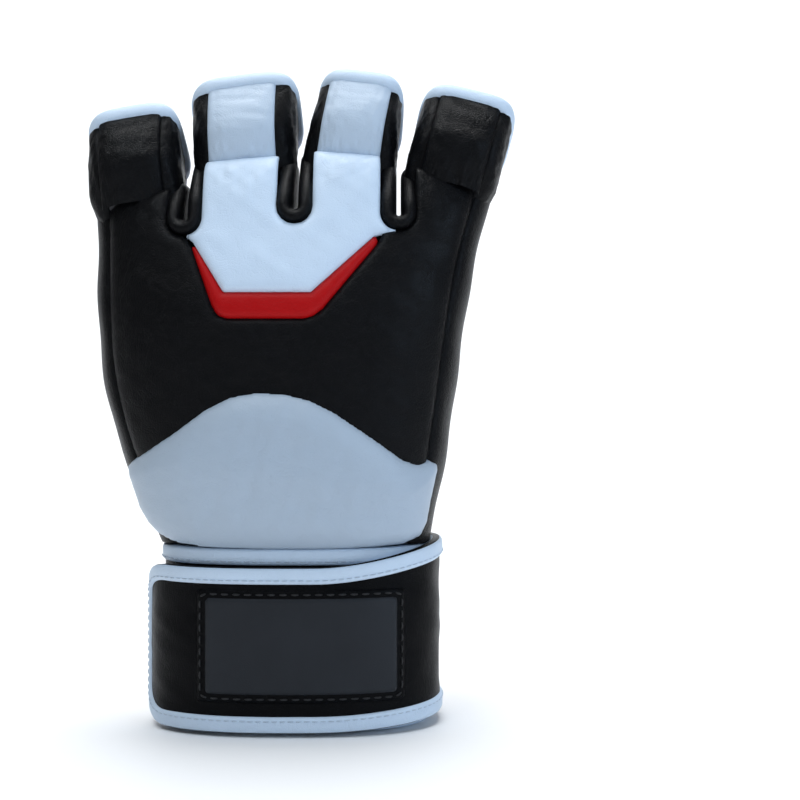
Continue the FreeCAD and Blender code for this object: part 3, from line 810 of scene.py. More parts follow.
class GLOVE_OT_fingers(Operator):
    """Pads, gussets, mesh, lining and bound opening of the four finger sections."""

    bl_idname = "glove.fingers"
    bl_label = "Finger sections"

    def execute(self, context):
        materials = glove_materials()
        for number, finger in enumerate(FINGERS):
            name, body = finger.name, finger.name + "_finger"
            surface = finger_surface(finger)
            bend = (
                "hand", body,
                tuple(to_row(finger_to_hand(finger, (0, 12, -8)))),
                tuple(to_row(finger_to_hand(finger, (0, 12, 10)))),
            )
            white = name in ("ring", "middle")
            seam = lambda w, finger=finger: seam_turn(finger, w)
            from_seam, to_seam = lambda w: seam(w) - math.pi, lambda w: -seam(w)
            grid_a, w = finger_grid(finger, from_seam, to_seam, 90, 44, PAD_LOW)
            edge = np.clip(np.minimum(grid_a + math.pi - seam(w), -seam(w) - grid_a) / 0.16, 0, 1)
            flat = np.stack([grid_a.ravel() * 17, w.ravel()], -1)
            wrinkle = noise(flat * [1.0, 0.5], 5.0, 20 + number).reshape(w.shape)
            soft = noise(flat, 13.0, 40 + number).reshape(w.shape)
            h = -1.2 * rolled(edge)
            h = h + 0.33 * wrinkle * np.exp(-np.clip(w, 0, 40) / 6.0) * edge + 0.22 * soft * edge
            points = with_height(surface, grid_a * 100, w, h)
            # The ring and middle pads take a darker copy of the white leather: painted shade for the pads
            # lying in less light than the knuckle panel.
            piece = grid_mesh(name + "_pad", points, False, materials["pad" if white else "black"])
            finish_piece(piece, body, "white_leather" if white else "black_leather",
                         [name + "_pad_cover", name + "_pad_foam"])
            self.walls(finger, surface, bend, materials, seam)
            self.binding(finger, body, materials)
        return {"FINISHED"}

    def walls(self, finger, surface, bend, materials, seam):
        """Side gussets, palm mesh and lining of a finger section."""
        s = sizes()
        name = finger.name
        turn = lambda w: MESH_TURN + 0 * w
        behind = lambda w: math.pi - turn(w)
        spans = {
            "_gusset_thumb_side": (lambda w: -seam(w) - 0.03, turn, "black", "black_leather"),
            "_gusset_little_side": (behind, lambda w: math.pi + seam(w) + 0.03, "black", "black_leather"),
            "_palm_mesh": (turn, behind, "mesh", "spacer_mesh"),
        }
        for suffix, (a0, a1, material, slot) in spans.items():
            outer = name + suffix in ("little_gusset_little_side", "index_gusset_thumb_side")
            low = OUTER_GUSSET_LOW if outer else GUSSET_LOW
            grid_a, w = finger_grid(finger, a0, a1, 60 if "palm" in suffix else 26, 36, low)
            span = a1(w) - a0(w)
            share = (grid_a - a0(w)) / span
            edge = np.clip(np.minimum(share, 1 - share) * span / 0.12, 0, 1)
            puff = GUSSET_PUFF if "gusset" in suffix else 0.0
            tuck = OUTER_GUSSET_TUCK if outer else GUSSET_TUCK
            h = -0.8 * rolled(edge) - 0.5 + puff * np.sin(math.pi * np.clip(share, 0, 1))
            h = h - tuck * (1 - np.clip((w - low) / 9.0, 0, 1)) ** 2
            flat = np.stack([grid_a.ravel() * 17, w.ravel()], -1)
            h = h + 0.3 * noise(flat * [1, 0.7], 9.0, 60).reshape(w.shape) * edge
            points = with_height(surface, grid_a * 100, w, h)
            piece = grid_mesh(name + suffix, points, False, materials[material])
            stands_for = {"_gusset_thumb_side": [name + "_gusset"], "_palm_mesh": [name + "_mesh"]}
            nodes = stands_for.get(suffix, [])
            finish_piece(piece, None, slot, nodes, blend=bend)
        a = np.linspace(0, 2 * math.pi, 73)
        rows = np.linspace(0, 1, 16)
        w = LINING_LOW + np.outer(rows, mouth_height(finger, a) - 1.0 - LINING_LOW).T
        inset = s.skin + s.lining + 0.2 + 2.6 * np.clip((6.0 - w) / 8.0, 0, 1)
        points = finger_surface(finger, inset)(np.repeat(a[:, None], len(rows), 1) * 100, w)
        lining = grid_mesh(name + "_finger_lining", points, False, materials["lining"])
        finish_piece(lining, None, "lining", blend=bend)

    def binding(self, finger, body, materials):
        """Folded white binding over the lip of a finger opening."""
        s = sizes()
        a = np.linspace(0, 2 * math.pi, 121)
        outer, inner = finger_surface(finger), finger_surface(finger, s.skin + s.lining)
        mouth = mouth_height(finger, a)
        rows = []
        width, proud = s.binding_width, s.binding_proud
        outside = (
            (width + 0.2, -0.6), (width, 0.3), (width - 0.7, proud * 0.85),
            (width * 0.5, proud + 0.15), (1.6, proud), (0.5, proud * 0.6),
        )
        for drop, height in outside:
            rows.append(with_height(outer, a * 100, mouth - drop, np.full(len(a), height)))
        lip_out = with_height(outer, a * 100, mouth - 0.1, np.full(len(a), 0.0))
        front = np.clip(-np.sin(a), 0, 1)[:, None]
        centre = finger_to_hand(finger, np.stack([0 * a, 0 * a + 11.0, mouth], -1))
        lip_in = inner(a * 100, mouth - 0.2)
        lip_in = lip_in + (centre - lip_in) * 0.16 * front
        for t, lift in ((0.0, 0.25), (0.33, 0.75), (0.66, 0.75), (1.0, 0.2)):
            point = lip_out * (1 - t) + lip_in * t
            up = finger_to_hand(finger, (0, 0, 1.0)) - finger_to_hand(finger, (0, 0, 0))
            rows.append(point + up * lift)
        for drop, pull in ((1.4, 0.02), (3.4, 0.02), (5.4, 0.0)):
            low = inner(a * 100, mouth - drop)
            rows.append(low + (centre - low) * (0.16 * front + pull))
        points = np.stack(rows, 1)
        piece = grid_mesh(finger.name + "_opening_binding", points, False, materials["binding"])
        merge_ends(piece)
        finish_piece(piece, body, "white_binding", [finger.name + "_binding"])


def edit_all(piece, operator, **settings):
    """Runs a mesh operator on all of a piece."""
    bpy.ops.object.select_all(action="DESELECT")
    piece.select_set(True)
    bpy.context.view_layer.objects.active = piece
    bpy.ops.object.mode_set(mode="EDIT")
    bpy.ops.mesh.select_all(action="SELECT")
    operator(**settings)
    bpy.ops.object.mode_set(mode="OBJECT")
    piece.select_set(False)


def merge_ends(piece):
    """Welds the first and last rows of a mesh that was walked all the way round."""
    edit_all(piece, bpy.ops.mesh.remove_doubles, threshold=0.00001)


class GLOVE_OT_palm(Operator):
    """Mesh palm, leather band, grip roll and the mesh at the roots of the fingers."""

    bl_idname = "glove.palm"
    bl_label = "Palm"

    def execute(self, context):
        s = sizes()
        materials = glove_materials()

        def edge(column, low, high):
            return [(-x, z) for x, z in side_edge(column, s.palm_lap, low, high)]

        thumb = thumb_foot()
        outline = edge(2, 62.5, s.band_low) + edge(1, 62.5, s.band_low)[::-1]

        def fall(inside, flat):
            waves = 0.35 * noise(flat * [1.0, 0.5], 26.0, 71) * np.clip(inside / 6, 0, 1)
            return -0.9 * rolled(inside / 2.5) + waves

        hole = np.stack([-thumb[:, 0], thumb[:, 1]], -1)
        piece = panel("palm_skin", [np.array(outline), hole], palm_surface, fall, materials["mesh"])
        finish_piece(piece, "hand", "spacer_mesh", ["palm_mesh"])

        outline = edge(2, s.band_low, s.band_high) + edge(1, s.band_low, s.band_high)[::-1]
        band = lambda inside, flat: pillow(1.2, 3.0)(inside, flat) + 0.4 + 0.2 * noise(flat, 20.0, 72)
        piece = panel("palm_band_leather", [np.array(outline)], palm_surface, band, materials["black"])
        finish_piece(piece, "hand", "black_leather", ["palm_band"])

        half, round_end = s.roll_radius + 1, s.roll_radius + 0.9
        stadium = rounded(-s.roll_right, -s.roll_left, s.roll_z - half, s.roll_z + half, round_end)

        def dome(inside, flat):
            wrinkle = 0.3 * noise(flat * [1.0, 0.25], 8.0, 73) * np.clip(inside / 4, 0, 1)
            return -0.4 + 7.4 * (1 - rolled(inside / round_end)) + wrinkle

        piece = panel("grip_roll_leather", [stadium], palm_surface, dome, materials["black"], cell=0.7)
        finish_piece(piece, "hand", "black_leather", ["grip_roll"])

        one, two, three = SLOTS
        reach = s.slot_half_gap + s.slot_gusset
        left, right = station_value(172.0, 1) + s.palm_lap, station_value(172.0, 2) - s.palm_lap
        spans = (
            (left, one - reach, 173.5), (one + reach, two - reach, 180.5),
            (two + reach, three - reach, 182.0), (three + reach, right, 176.5),
        )
        outline = [(-left, s.band_high), (-left - 0.4, spans[0][2])]
        for k, (x0, x1, top) in enumerate(spans):
            outline += [(-x0, top), (-x1, top)]
            if k < 3:
                outline += [(-x, z) for x, z in slot_arc(k, 180, 360)]
        outline += [(-right, s.band_high)]
        root = lambda inside, flat: pillow(0.8, 2.5)(inside, flat) - 0.1
        piece = panel("finger_root_skin", [np.array(outline)], palm_surface, root, materials["mesh"])
        finish_piece(piece, "hand", "spacer_mesh", ["finger_root_mesh"])
        return {"FINISHED"}


THUMB_HOLE_X, THUMB_HOLE_Z, THUMB_TAPER = (4.0, 45.0), (68.0, 137.0), 0.55
THUMB_MOUTH, THUMB_HALF, THUMB_TURN, THUMB_RING = (42.0, 37.0, 118.0), (11.2, 20.0), 35.0, 3.1
# The sleeve starts to bend here, and has turned with the mouth there.
THUMB_BEND = ((28.0, 19.0, 118.0), (41.0, 35.5, 118.0))


def thumb_foot(count=96, inset=0.0):
    """Teardrop of the thumb sleeve's foot in the front view."""
    half_x = (THUMB_HOLE_X[1] - THUMB_HOLE_X[0]) / 2 - inset
    half_z = (THUMB_HOLE_Z[1] - THUMB_HOLE_Z[0]) / 2 - inset
    a = np.linspace(0, 2 * math.pi, count, endpoint=False)
    up = np.sin(a)
    narrow = 1 - THUMB_TAPER * (1 - up) / 2
    lean = THUMB_TAPER * half_x * (1 - up) / 6
    x = sum(THUMB_HOLE_X) / 2 + half_x * narrow * np.cos(a) - lean
    return np.stack([x, sum(THUMB_HOLE_Z) / 2 + half_z * up], -1)


def thumb_oval(count=96, inset=0.0, along_axis=0.0):
    """Oval of the thumb sleeve's mouth."""
    turn = math.radians(THUMB_TURN)
    a = np.linspace(0, 2 * math.pi, count, endpoint=False)
    across = (THUMB_HALF[0] - inset) * np.cos(a)
    return np.stack([
        THUMB_MOUTH[0] + across * math.cos(turn) + along_axis * math.sin(turn),
        THUMB_MOUTH[1] - across * math.sin(turn) + along_axis * math.cos(turn),
        THUMB_MOUTH[2] + (THUMB_HALF[1] - inset) * np.sin(a),
    ], -1)


class GLOVE_OT_thumb(Operator):
    """Stretch sleeve of the thumb and its thick bound mouth."""

    bl_idname = "glove.thumb"
    bl_label = "Thumb sleeve"

    def execute(self, context):
        materials = glove_materials()
        flat = thumb_foot()
        foot = palm_surface(-flat[:, 0], flat[:, 1]) + [0, -0.6, 0]
        mouth = thumb_oval(inset=0.7, along_axis=1.5)
        t = np.linspace(0, 1, 60)
        turn = math.radians(THUMB_TURN)
        rise = np.array([0.0, 1.0, 0.0]) * 6.0
        run = np.array([math.sin(turn), math.cos(turn), 0.0]) * 10.0
        rows = []
        for k in t:
            a, b = 2 * k**3 - 3 * k**2 + 1, 3 * k**2 - 2 * k**3
            c, d = k**3 - 2 * k**2 + k, k**3 - k**2
            rows.append(foot * a + mouth * b + rise * c + run * d)
        points = np.array(rows).transpose(1, 0, 2)
        n, m = points.shape[:2]
        place = np.stack(np.meshgrid(np.arange(n) * 1.6, np.arange(m) * 0.7, indexing="ij"), -1)
        place = place.reshape(-1, 2)
        fold = noise(place * [1.0, 0.35], 14.0, 81).reshape(n, m)
        d_around = np.roll(points, -1, 0) - np.roll(points, 1, 0)
        d_up = np.gradient(points, axis=1)
        normal = np.cross(d_around, d_up)
        normal /= np.maximum(np.linalg.norm(normal, axis=-1, keepdims=True), 1e-9)
        points = points + normal * (0.7 * fold * np.sin(math.pi * t)[None, :])[..., None]
        piece = grid_mesh("thumb_sleeve_knit", points, True, materials["knit"])
        bend = ("hand", "thumb_loop") + tuple(tuple(to_row(place)) for place in THUMB_BEND)
        finish_piece(piece, None, "stretch_knit", ["thumb_sleeve"], blend=bend)
        centre = thumb_oval(count=140, inset=0.7, along_axis=THUMB_RING + 0.3)
        axis = (math.sin(turn), math.cos(turn), 0)
        ring = ring_mesh("thumb_mouth_binding", centre, THUMB_RING, materials["binding"], axis)
        finish_piece(ring, "thumb_loop", "white_binding", ["thumb_ring"])
        return {"FINISHED"}


class GLOVE_OT_cuff(Operator):
    """Leather cuff and its two folded bindings."""

    bl_idname = "glove.cuff"
    bl_label = "Wrist cuff"

    def execute(self, context):
        s = sizes()
        materials = glove_materials()
        oval, inner = Oval(0.0), Oval(-s.cuff_wall)
        p = np.linspace(0, -oval.length, 361)
        z = np.linspace(1.0, s.cuff_height - 1.0, 44)
        grid_p, grid_z = np.meshgrid(p[::-1], z, indexing="ij")
        flat = np.stack([grid_p.ravel(), grid_z.ravel()], -1)
        h = 0.25 * noise(flat, 30.0, 90).reshape(grid_p.shape)
        outside = with_height(oval.surface, grid_p, grid_z, h)
        piece = grid_mesh("cuff_leather", outside, False, materials["black"])
        merge_ends(piece)
        finish_piece(piece, "hand", "black_leather", ["cuff_band"])
        share = grid_p / oval.length * inner.length
        inside = inner.surface(share, grid_z)[::-1]
        lining = grid_mesh("cuff_lining", inside, False, materials["lining"])
        finish_piece(lining, "hand", "lining")
        edges = (
            ("cuff_head_edge", s.cuff_height, -1, ["cuff_head_binding"]),
            ("cuff_foot_edge", 0.0, 1, ["cuff_foot_binding"]),
        )
        for name, height, sign, nodes in edges:
            rows = []
            for inset, out in binding_profile(s.binding_width, s.binding_proud, s.cuff_wall):
                level = np.full(len(p), height + sign * inset)
                rows.append(with_height(oval.surface, p[::-1], level, np.full(len(p), out)))
            points = np.stack(rows if sign < 0 else rows[::-1], 1)
            piece = grid_mesh(name, points, False, materials["binding"])
            merge_ends(piece)
            finish_piece(piece, "hand", "white_binding", nodes)
        return {"FINISHED"}


def binding_profile(width, proud, wall):
    """Cross-section of a folded binding: inset from the edge, height over the face it laps."""
    half = wall / 2
    outside = [
        (width + 0.1, -0.4), (width, 0.35 * proud), (width - 0.6, 0.85 * proud),
        (width * 0.55, proud), (1.2, 0.95 * proud),
    ]
    fold = [
        (0.5 - 0.45 * math.cos(a), -half + (half + 0.75 * proud) * math.sin(a))
        for a in np.linspace(1.1, -1.1, 7)
    ]
    inside = [
        (1.2, -wall - 0.95 * proud), (width * 0.55, -wall - proud),
        (width, -wall - 0.35 * proud), (width + 0.1, -wall + 0.3),
    ]
    return outside + fold + inside


# The plain panel on the strap: x of its ends and heights of its long edges.
PATCH_X, PATCH_Z = (-31.5, 38.5), (10.9, 48.6)


class GLOVE_OT_strap(Operator):
    """Closing strap with its binding and the plain dark panel sewn on it."""

    bl_idname = "glove.strap"
    bl_label = "Strap"

    def execute(self, context):
        s = sizes()
        materials = glove_materials()
        oval = Oval(s.strap_inner + s.strap_thickness)
        outline, around = strap_outline(oval), strap_surface(oval)

        def slack(inside, flat):
            return 0.3 * noise(flat * [0.6, 1.0], 26.0, 101) * np.clip(inside / 8, 0, 1)

        def inner_face(inside, flat):
            return 0 * inside - s.strap_thickness

        def plate(lift, rise, width):
            return lambda inside, flat: lift + rise * np.clip(inside / width, 0, 1) ** 0.5

        black = materials["strap"]
        piece = panel("strap_leather", [outline], around, slack, black, skirt=s.strap_thickness)
        finish_piece(piece, "strap", "black_leather", ["strap_band"])
        inner = panel("strap_back", [outline], around, inner_face, materials["lining"], skirt=0)
        edit_all(inner, bpy.ops.mesh.flip_normals)
        finish_piece(inner, "strap", "black_leather")
        profile = binding_profile(s.binding_width, s.binding_proud, s.strap_thickness)
        piece = sweep("strap_edge", along(outline, 1.2), True, profile, around, materials["binding"])
        finish_piece(piece, "strap", "white_binding", ["strap_binding"])
        p0, p1 = (oval.arc_at(x) for x in PATCH_X)
        base = rounded(p0, p1, *PATCH_Z, 1.6)
        height = plate(0.0, 0.75, 0.7)
        piece = panel("name_patch_base", [base], oval.surface, height, black, cell=0.8, skirt=1.0)
        finish_piece(piece, "strap", "dark_panel", ["name_patch"])
        inside = rounded(p0 + 3.4, p1 - 3.4, PATCH_Z[0] + 2.9, PATCH_Z[1] - 2.7, 1.2)
        height, dark = plate(0.7, 0.55, 0.6), materials["patch"]
        piece = panel("name_patch_panel", [inside], oval.surface, height, dark, cell=0.8, skirt=0.8)
        finish_piece(piece, "strap", "dark_panel")
        return {"FINISHED"}


# Between these x the strap widens, from the first share of its width by the second, and rises.
STRAP_WARP_X, STRAP_SPREAD, STRAP_LIFT = (8.0, 60.0), (0.965, 0.09), 2.4


def strap_surface(oval):
    """Outer surface of the strap, which rises and widens a little towards the thumb side."""
    start, end = (oval.arc_at(x) for x in STRAP_WARP_X)

    def surface(p, z):
        share = np.clip((np.asarray(p, float) - start) / (end - start), 0, 1)
        rise = share * share * (3 - 2 * share)
        return oval.surface(p, z * (STRAP_SPREAD[0] + STRAP_SPREAD[1] * rise) + STRAP_LIFT * rise)
    return surface


def strap_outline(oval):
    """The strap laid flat: rounded at its free end, square where it is sewn on."""
    s = sizes()
    low, high = s.strap_bottom, s.strap_bottom + s.strap_height
    end, radius, wide = -oval.silhouette + 2.0, s.strap_corner, 21.0

    def corner(start, stop, cz):
        turns = np.radians(np.linspace(start, stop, 16))
        return [(end + wide + wide * math.cos(t), cz + radius * math.sin(t)) for t in turns]

    free_end = corner(90, 180, high - radius) + corner(180, 270, low + radius)
    return np.array([(0.0, high)] + free_end + [(0.0, low)])


class GLOVE_OT_stitches(Operator):
    """Threads along the seams and the bindings."""

    bl_idname = "glove.stitches"
    bl_label = "Stitches"

    def execute(self, context):
        s = sizes()
        materials = glove_materials()
        oval, cuff = Oval(s.strap_inner + s.strap_thickness), Oval(0.0)
        outline = strap_outline(oval)
        rim = along(outline, 1.0)
        inward = rim + path_normals(rim, True) * (s.binding_width - 1.3)
        rows = [seam_row(inward, strap_surface(oval), s.binding_proud * 0.98, True)]
        for height in (s.cuff_height - s.binding_width + 1.2, s.binding_width - 1.2):
            p = np.linspace(-cuff.length, 0, 300)
            level = np.stack([p, np.full(300, height)], -1)
            rows.append(seam_row(level, cuff.surface, s.binding_proud * 0.98))
        fine, white = (2.0, 0.7, 0.2), materials["thread_white"]
        piece = stitch_mesh("binding_stitches_strap", rows[:1], white, *fine)
        finish_piece(piece, "strap", "white_binding")
        piece = stitch_mesh("binding_stitches_cuff", rows[1:], white, *fine)
        finish_piece(piece, "hand", "white_binding")
        p0, p1 = (oval.arc_at(x) for x in PATCH_X)
        seam = rounded(p0 + 1.7, p1 - 1.7, PATCH_Z[0] + 1.5, PATCH_Z[1] - 1.4, 1.4)
        rows = [seam_row(seam, oval.surface, 0.8, True)]
        piece = stitch_mesh("patch_stitches", rows, materials["thread_black"])
        finish_piece(piece, "strap", "black_leather")
        half, side = s.roll_radius + 3.2, 2.2
        stadium = rounded(
            -s.roll_right - side, -s.roll_left + side, s.roll_z - half, s.roll_z + half, s.roll_radius + 3
        )
        rows = [seam_row(stadium, palm_surface, 0.5, True)]
        for z in (s.band_low + 2.0, s.band_high - 2.0):
            x0 = -station_value(z, 2) + s.palm_lap + 2
            x1 = -station_value(z, 1) - s.palm_lap - 2
            rows.append(seam_row(np.array([(x0, z), (x1, z)]), palm_surface, 0.4))
        piece = stitch_mesh("palm_stitches", rows, materials["thread_black"])
        finish_piece(piece, "hand", "black_leather")
        return {"FINISHED"}


# --- materials ----------------------------------------------------------------------------------


class Socket:
    """A node's output with arithmetic, so that shader maths reads like maths."""

    def __init__(self, shader, output):
        self.shader, self.output = shader, output

    def _math(self, operation, *others):
        node = self.shader.tree.nodes.new("ShaderNodeMath")
        node.operation = operation
        for index, value in enumerate((self,) + others):
            self.shader.put(node.inputs[index], value)
        return Socket(self.shader, node.outputs[0])

    def __add__(self, other): return self._math("ADD", other)
    def __sub__(self, other): return self._math("SUBTRACT", other)
    def __mul__(self, other): return self._math("MULTIPLY", other)
    def __truediv__(self, other): return self._math("DIVIDE", other)
    def sin(self): return self._math("SINE")
    def absolute(self): return self._math("ABSOLUTE")
    def fraction(self): return self._math("FRACT")
    def high(self, other): return self._math("MAXIMUM", other)

    def ramp(self, start, stop, low=0.0, high=1.0):
        """Smooth change from low to high as this goes from start to stop."""
        node = self.shader.add("ShaderNodeMapRange", interpolation_type="SMOOTHSTEP")
        ends = (("From Min", start), ("From Max", stop), ("To Min", low), ("To Max", high))
        for key, value in (("Value", self),) + ends:
            self.shader.put(node.inputs[key], value)
        return Socket(self.shader, node.outputs["Result"])


class Shader:
    """One procedural material."""

    def __init__(self, name):
        self.material = bpy.data.materials.new(name)
        self.material.use_nodes = True
        self.tree = self.material.node_tree
        self.surface = self.tree.nodes["Principled BSDF"]

    def put(self, socket, value):
        if isinstance(value, Socket):
            self.tree.links.new(value.output, socket)
        else:
            socket.default_value = value

    def add(self, kind, **settings):
        node = self.tree.nodes.new(kind)
        for key, value in settings.items():
            setattr(node, key, value)
        return node

    def place(self, scale, flat=False):
        """Where the material is read, in millimetres times scale."""
        source = self.add("ShaderNodeTexCoord").outputs["UV" if flat else "Object"]
        node = self.add("ShaderNodeVectorMath", operation="SCALE")
        self.tree.links.new(source, node.inputs[0])
        node.inputs["Scale"].default_value = 1000.0 * scale
        return Socket(self, node.outputs[0])

    def parts(self, vector):
        node = self.add("ShaderNodeSeparateXYZ")
        self.put(node.inputs[0], vector)
        return [Socket(self, node.outputs[i]) for i in range(3)]

    def noise(self, vector, detail=3.0, roughness=0.55, distortion=0.0):
        node = self.add("ShaderNodeTexNoise")
        self.put(node.inputs["Vector"], vector)
        node.inputs["Scale"].default_value = 1.0
        node.inputs["Detail"].default_value = detail
        node.inputs["Roughness"].default_value = roughness
        node.inputs["Distortion"].default_value = distortion
        return Socket(self, node.outputs[0])

    def cells(self, vector):
        """Distance to the nearest edge between cells."""
        node = self.add("ShaderNodeTexVoronoi", feature="DISTANCE_TO_EDGE")
        self.put(node.inputs["Vector"], vector)
        node.inputs["Scale"].default_value = 1.0
        node.inputs["Randomness"].default_value = 1.0
        return Socket(self, node.outputs["Distance"])

    def mix(self, share, low, high):
        """Colour between low and high."""
        node = self.add("ShaderNodeMix", data_type="RGBA")
        self.put(node.inputs[0], share)
        for socket, value in ((node.inputs[6], low), (node.inputs[7], high)):
            self.put(socket, value if isinstance(value, Socket) else (*value, 1.0))
        return Socket(self, node.outputs[2])

    def bump(self, height, distance):
        """Raised detail: distance is in millimetres."""
        node = self.add("ShaderNodeBump")
        node.inputs["Strength"].default_value = 1.0
        node.inputs["Distance"].default_value = distance * 0.001
        self.put(node.inputs["Height"], height)
        self.tree.links.new(node.outputs[0], self.surface.inputs["Normal"])

    def finish(self, colour, roughness, **rest):
        self.put(self.surface.inputs["Base Color"], colour)
        self.put(self.surface.inputs["Roughness"], roughness)
        for key, value in rest.items():
            self.put(self.surface.inputs[key.replace("_", " ")], value)
        return self.material


def tint(colour, factor):
    return tuple(min(max(c * factor, 0.0), 1.0) for c in colour)


def leather(name, colour, gloss, grain=1.0, wrinkle=0.5, spread=0.18, shine=0.4):
    """Synthetic leather: pebbled grain, soft creases and uneven sheen."""
    shader = Shader(name)
    pebble = shader.cells(shader.place(1.25)).ramp(0.0, 0.16)
    crease = shader.noise(shader.place(0.11), 4.0, 0.6, 1.2)
    line = (crease - 0.5).absolute().ramp(0.0, 0.03)
    fine = shader.noise(shader.place(3.0), 2.0)
    cloud = shader.noise(shader.place(0.045), 3.0)
    shader.bump(pebble * (0.5 * grain) + line * wrinkle + fine * 0.25 * grain, 0.11)
    low, high = tint(colour, 1 - spread), tint(colour, 1 + spread)
    rough = cloud * 0.16 + pebble * -0.05 + gloss
    return shader.finish(shader.mix(cloud, low, high), rough, Specular_IOR_Level=shine)


def spacer_mesh(name, colour):
    """Knitted spacer mesh: rows of diamond holes in a pale ground."""
    shader = Shader(name)
    x, y, _ = shader.parts(shader.place(1.0, flat=True))
    u = (x / 3.4 + y / 5.2).fraction() - 0.5
    v = (x / 3.4 - y / 5.2).fraction() - 0.5
    hole = u.absolute().high(v.absolute()).ramp(0.34, 0.20)
    yarn = ((x * 5.2).sin() * (y * 4.1).sin()) * 0.5 + 0.5
    cloud = shader.noise(shader.place(0.05), 3.0)
    ground = shader.mix(cloud, tint(colour, 0.88), tint(colour, 1.08))
    shader.bump(hole * -1.0 + yarn * 0.12, 0.5)
    return shader.finish(shader.mix(hole, ground, tint(colour, 0.12)), yarn * 0.1 + 0.75, Sheen_Weight=0.2)


def knit(name, colour, pitch=0.9, sheen=0.25):
    """Fine knitted fabric."""
    shader = Shader(name)
    x, y, _ = shader.parts(shader.place(1.0, flat=True))
    turn = 6.28 / pitch
    sway = (x * (3.14 / pitch)).sin() * 1.4
    loops = ((x * turn).sin() * (y * turn + sway).sin()) * 0.5 + 0.5
    cloud = shader.noise(shader.place(0.06), 3.0)
    shader.bump(loops, 0.18)
    ground = shader.mix(loops * 0.6 + cloud * 0.4, tint(colour, 0.6), tint(colour, 1.8))
    return shader.finish(ground, cloud * 0.1 + 0.78, Sheen_Weight=sheen)


def moulded(name, colour):
    """Dark moulded panel with a soft satin face."""
    shader = Shader(name)
    fine = shader.noise(shader.place(2.2), 3.0)
    cloud = shader.noise(shader.place(0.05), 2.0)
    shader.bump(fine, 0.05)
    face = shader.mix(cloud, tint(colour, 0.8), tint(colour, 1.25))
    return shader.finish(face, cloud * 0.15 + 0.42, Specular_IOR_Level=0.17)


def thread(name, colour):
    """Twisted sewing thread."""
    shader = Shader(name)
    x, y, z = shader.parts(shader.place(1.0))
    twist = ((x + y * 0.7 + z) * 14.0).sin() * 0.5 + 0.5
    shader.bump(twist, 0.06)
    return shader.finish(shader.mix(twist, tint(colour, 0.7), colour), twist * 0.15 + 0.5)


_made = {}


def glove_materials():
    """The materials, made once."""
    if not _made:
        c = colours()
        _made["black"] = leather("black_leather", tuple(c.black), 0.30, 1.0, 0.6, 0.25, 0.1)
        _made["strap"] = leather("strap_leather", tint(tuple(c.black), 0.8), 0.30, 0.7, 0.3, 0.2, 0.06)
        _made["white"] = leather("white_leather", tuple(c.white), 0.38, 0.5, 0.35, 0.03)
        # Painted shade: the same white leather darkened to 0.65 on the wrist pad, for the light falling off
        # towards the wrist.
        _made["wrist"] = leather("wrist_painted_shade_leather", tint(tuple(c.white), 0.65), 0.38, 0.5, 0.35, 0.03)
        # Painted shade: the same white leather darkened to 0.8 on the white finger pads, which are lit less
        # than the knuckle panel.
        _made["pad"] = leather("finger_pad_painted_shade_leather", tint(tuple(c.white), 0.8), 0.38, 0.5, 0.35, 0.03)
        _made["red"] = leather("red_leather", tuple(c.red), 0.40, 0.6, 0.3, 0.1, 0.15)
        _made["binding"] = leather("white_binding", tint(tuple(c.white), 0.93), 0.42, 0.5, 0.4, 0.03)
        _made["mesh"] = spacer_mesh("spacer_mesh", tuple(c.mesh))
        _made["knit"] = knit("stretch_knit", tuple(c.knit))
        _made["lining"] = knit("lining_knit", tint(tuple(c.knit), 1.6), 1.1)
        _made["patch"] = moulded("dark_panel", tuple(c.patch))
        _made["thread_white"] = thread("white_thread", tint(tuple(c.white), 0.9))
        _made["thread_black"] = thread("black_thread", tint(tuple(c.black), 2.2))
        _made["pile"] = knit("fastener_pile", tint(tuple(c.knit), 1.3), 0.7, 0.5)
        _made["floor"] = floor_material("floor", tuple(c.floor))
    return _made


def floor_material(name, colour):
    shader = Shader(name)
    cloud = shader.noise(shader.place(0.004), 2.0)
    return shader.finish(shader.mix(cloud, tint(colour, 0.985), tint(colour, 1.0)), cloud * 0.05 + 0.6)


# --- stage ------------------------------------------------------------------------------------


class GLOVE_OT_frame_nodes(Operator):
    """Materials for the frame's own nodes that stay in sight."""

    bl_idname = "glove.frame_nodes"
    bl_label = "Frame nodes"

    def execute(self, context):
        materials = glove_materials()
        chosen = {"hand_lining": "lining", "loop_patch": "pile", "hook_patch": "pile"}
        for node, key in chosen.items():
            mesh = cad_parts[node].data
            mesh.materials.clear()
            mesh.materials.append(materials[key])
        return {"FINISHED"}


# Area lights: name, place, size, power, colour and what they point at, in metres and watts.
LIGHTS = (
    ("key", (-0.35, -0.75, 1.35), 0.6, 6.2, (0.84, 0.93, 1.0), (0.0, 0.0, 0.1)),
    ("side", (0.95, -0.75, 0.45), 0.45, 4.4, (0.60, 0.78, 1.0), (0.0, 0.0, 0.1)),
    ("top", (0.0, 0.15, 1.5), 0.9, 5.0, (0.92, 0.97, 1.0), (0.0, 0.0, 0.1)),
    ("backdrop", (0.0, 0.35, 1.7), 1.2, 22.0, (1.0, 1.0, 1.0), (0.0, 1.05, 0.5)),
)
WORLD_STRENGTH = 0.19
# The camera's place in millimetres from the cuff's axis, and its focal length.
CAMERA_PLACE, CAMERA_LENS = (36.8, -498.0, 112.0), 62.9


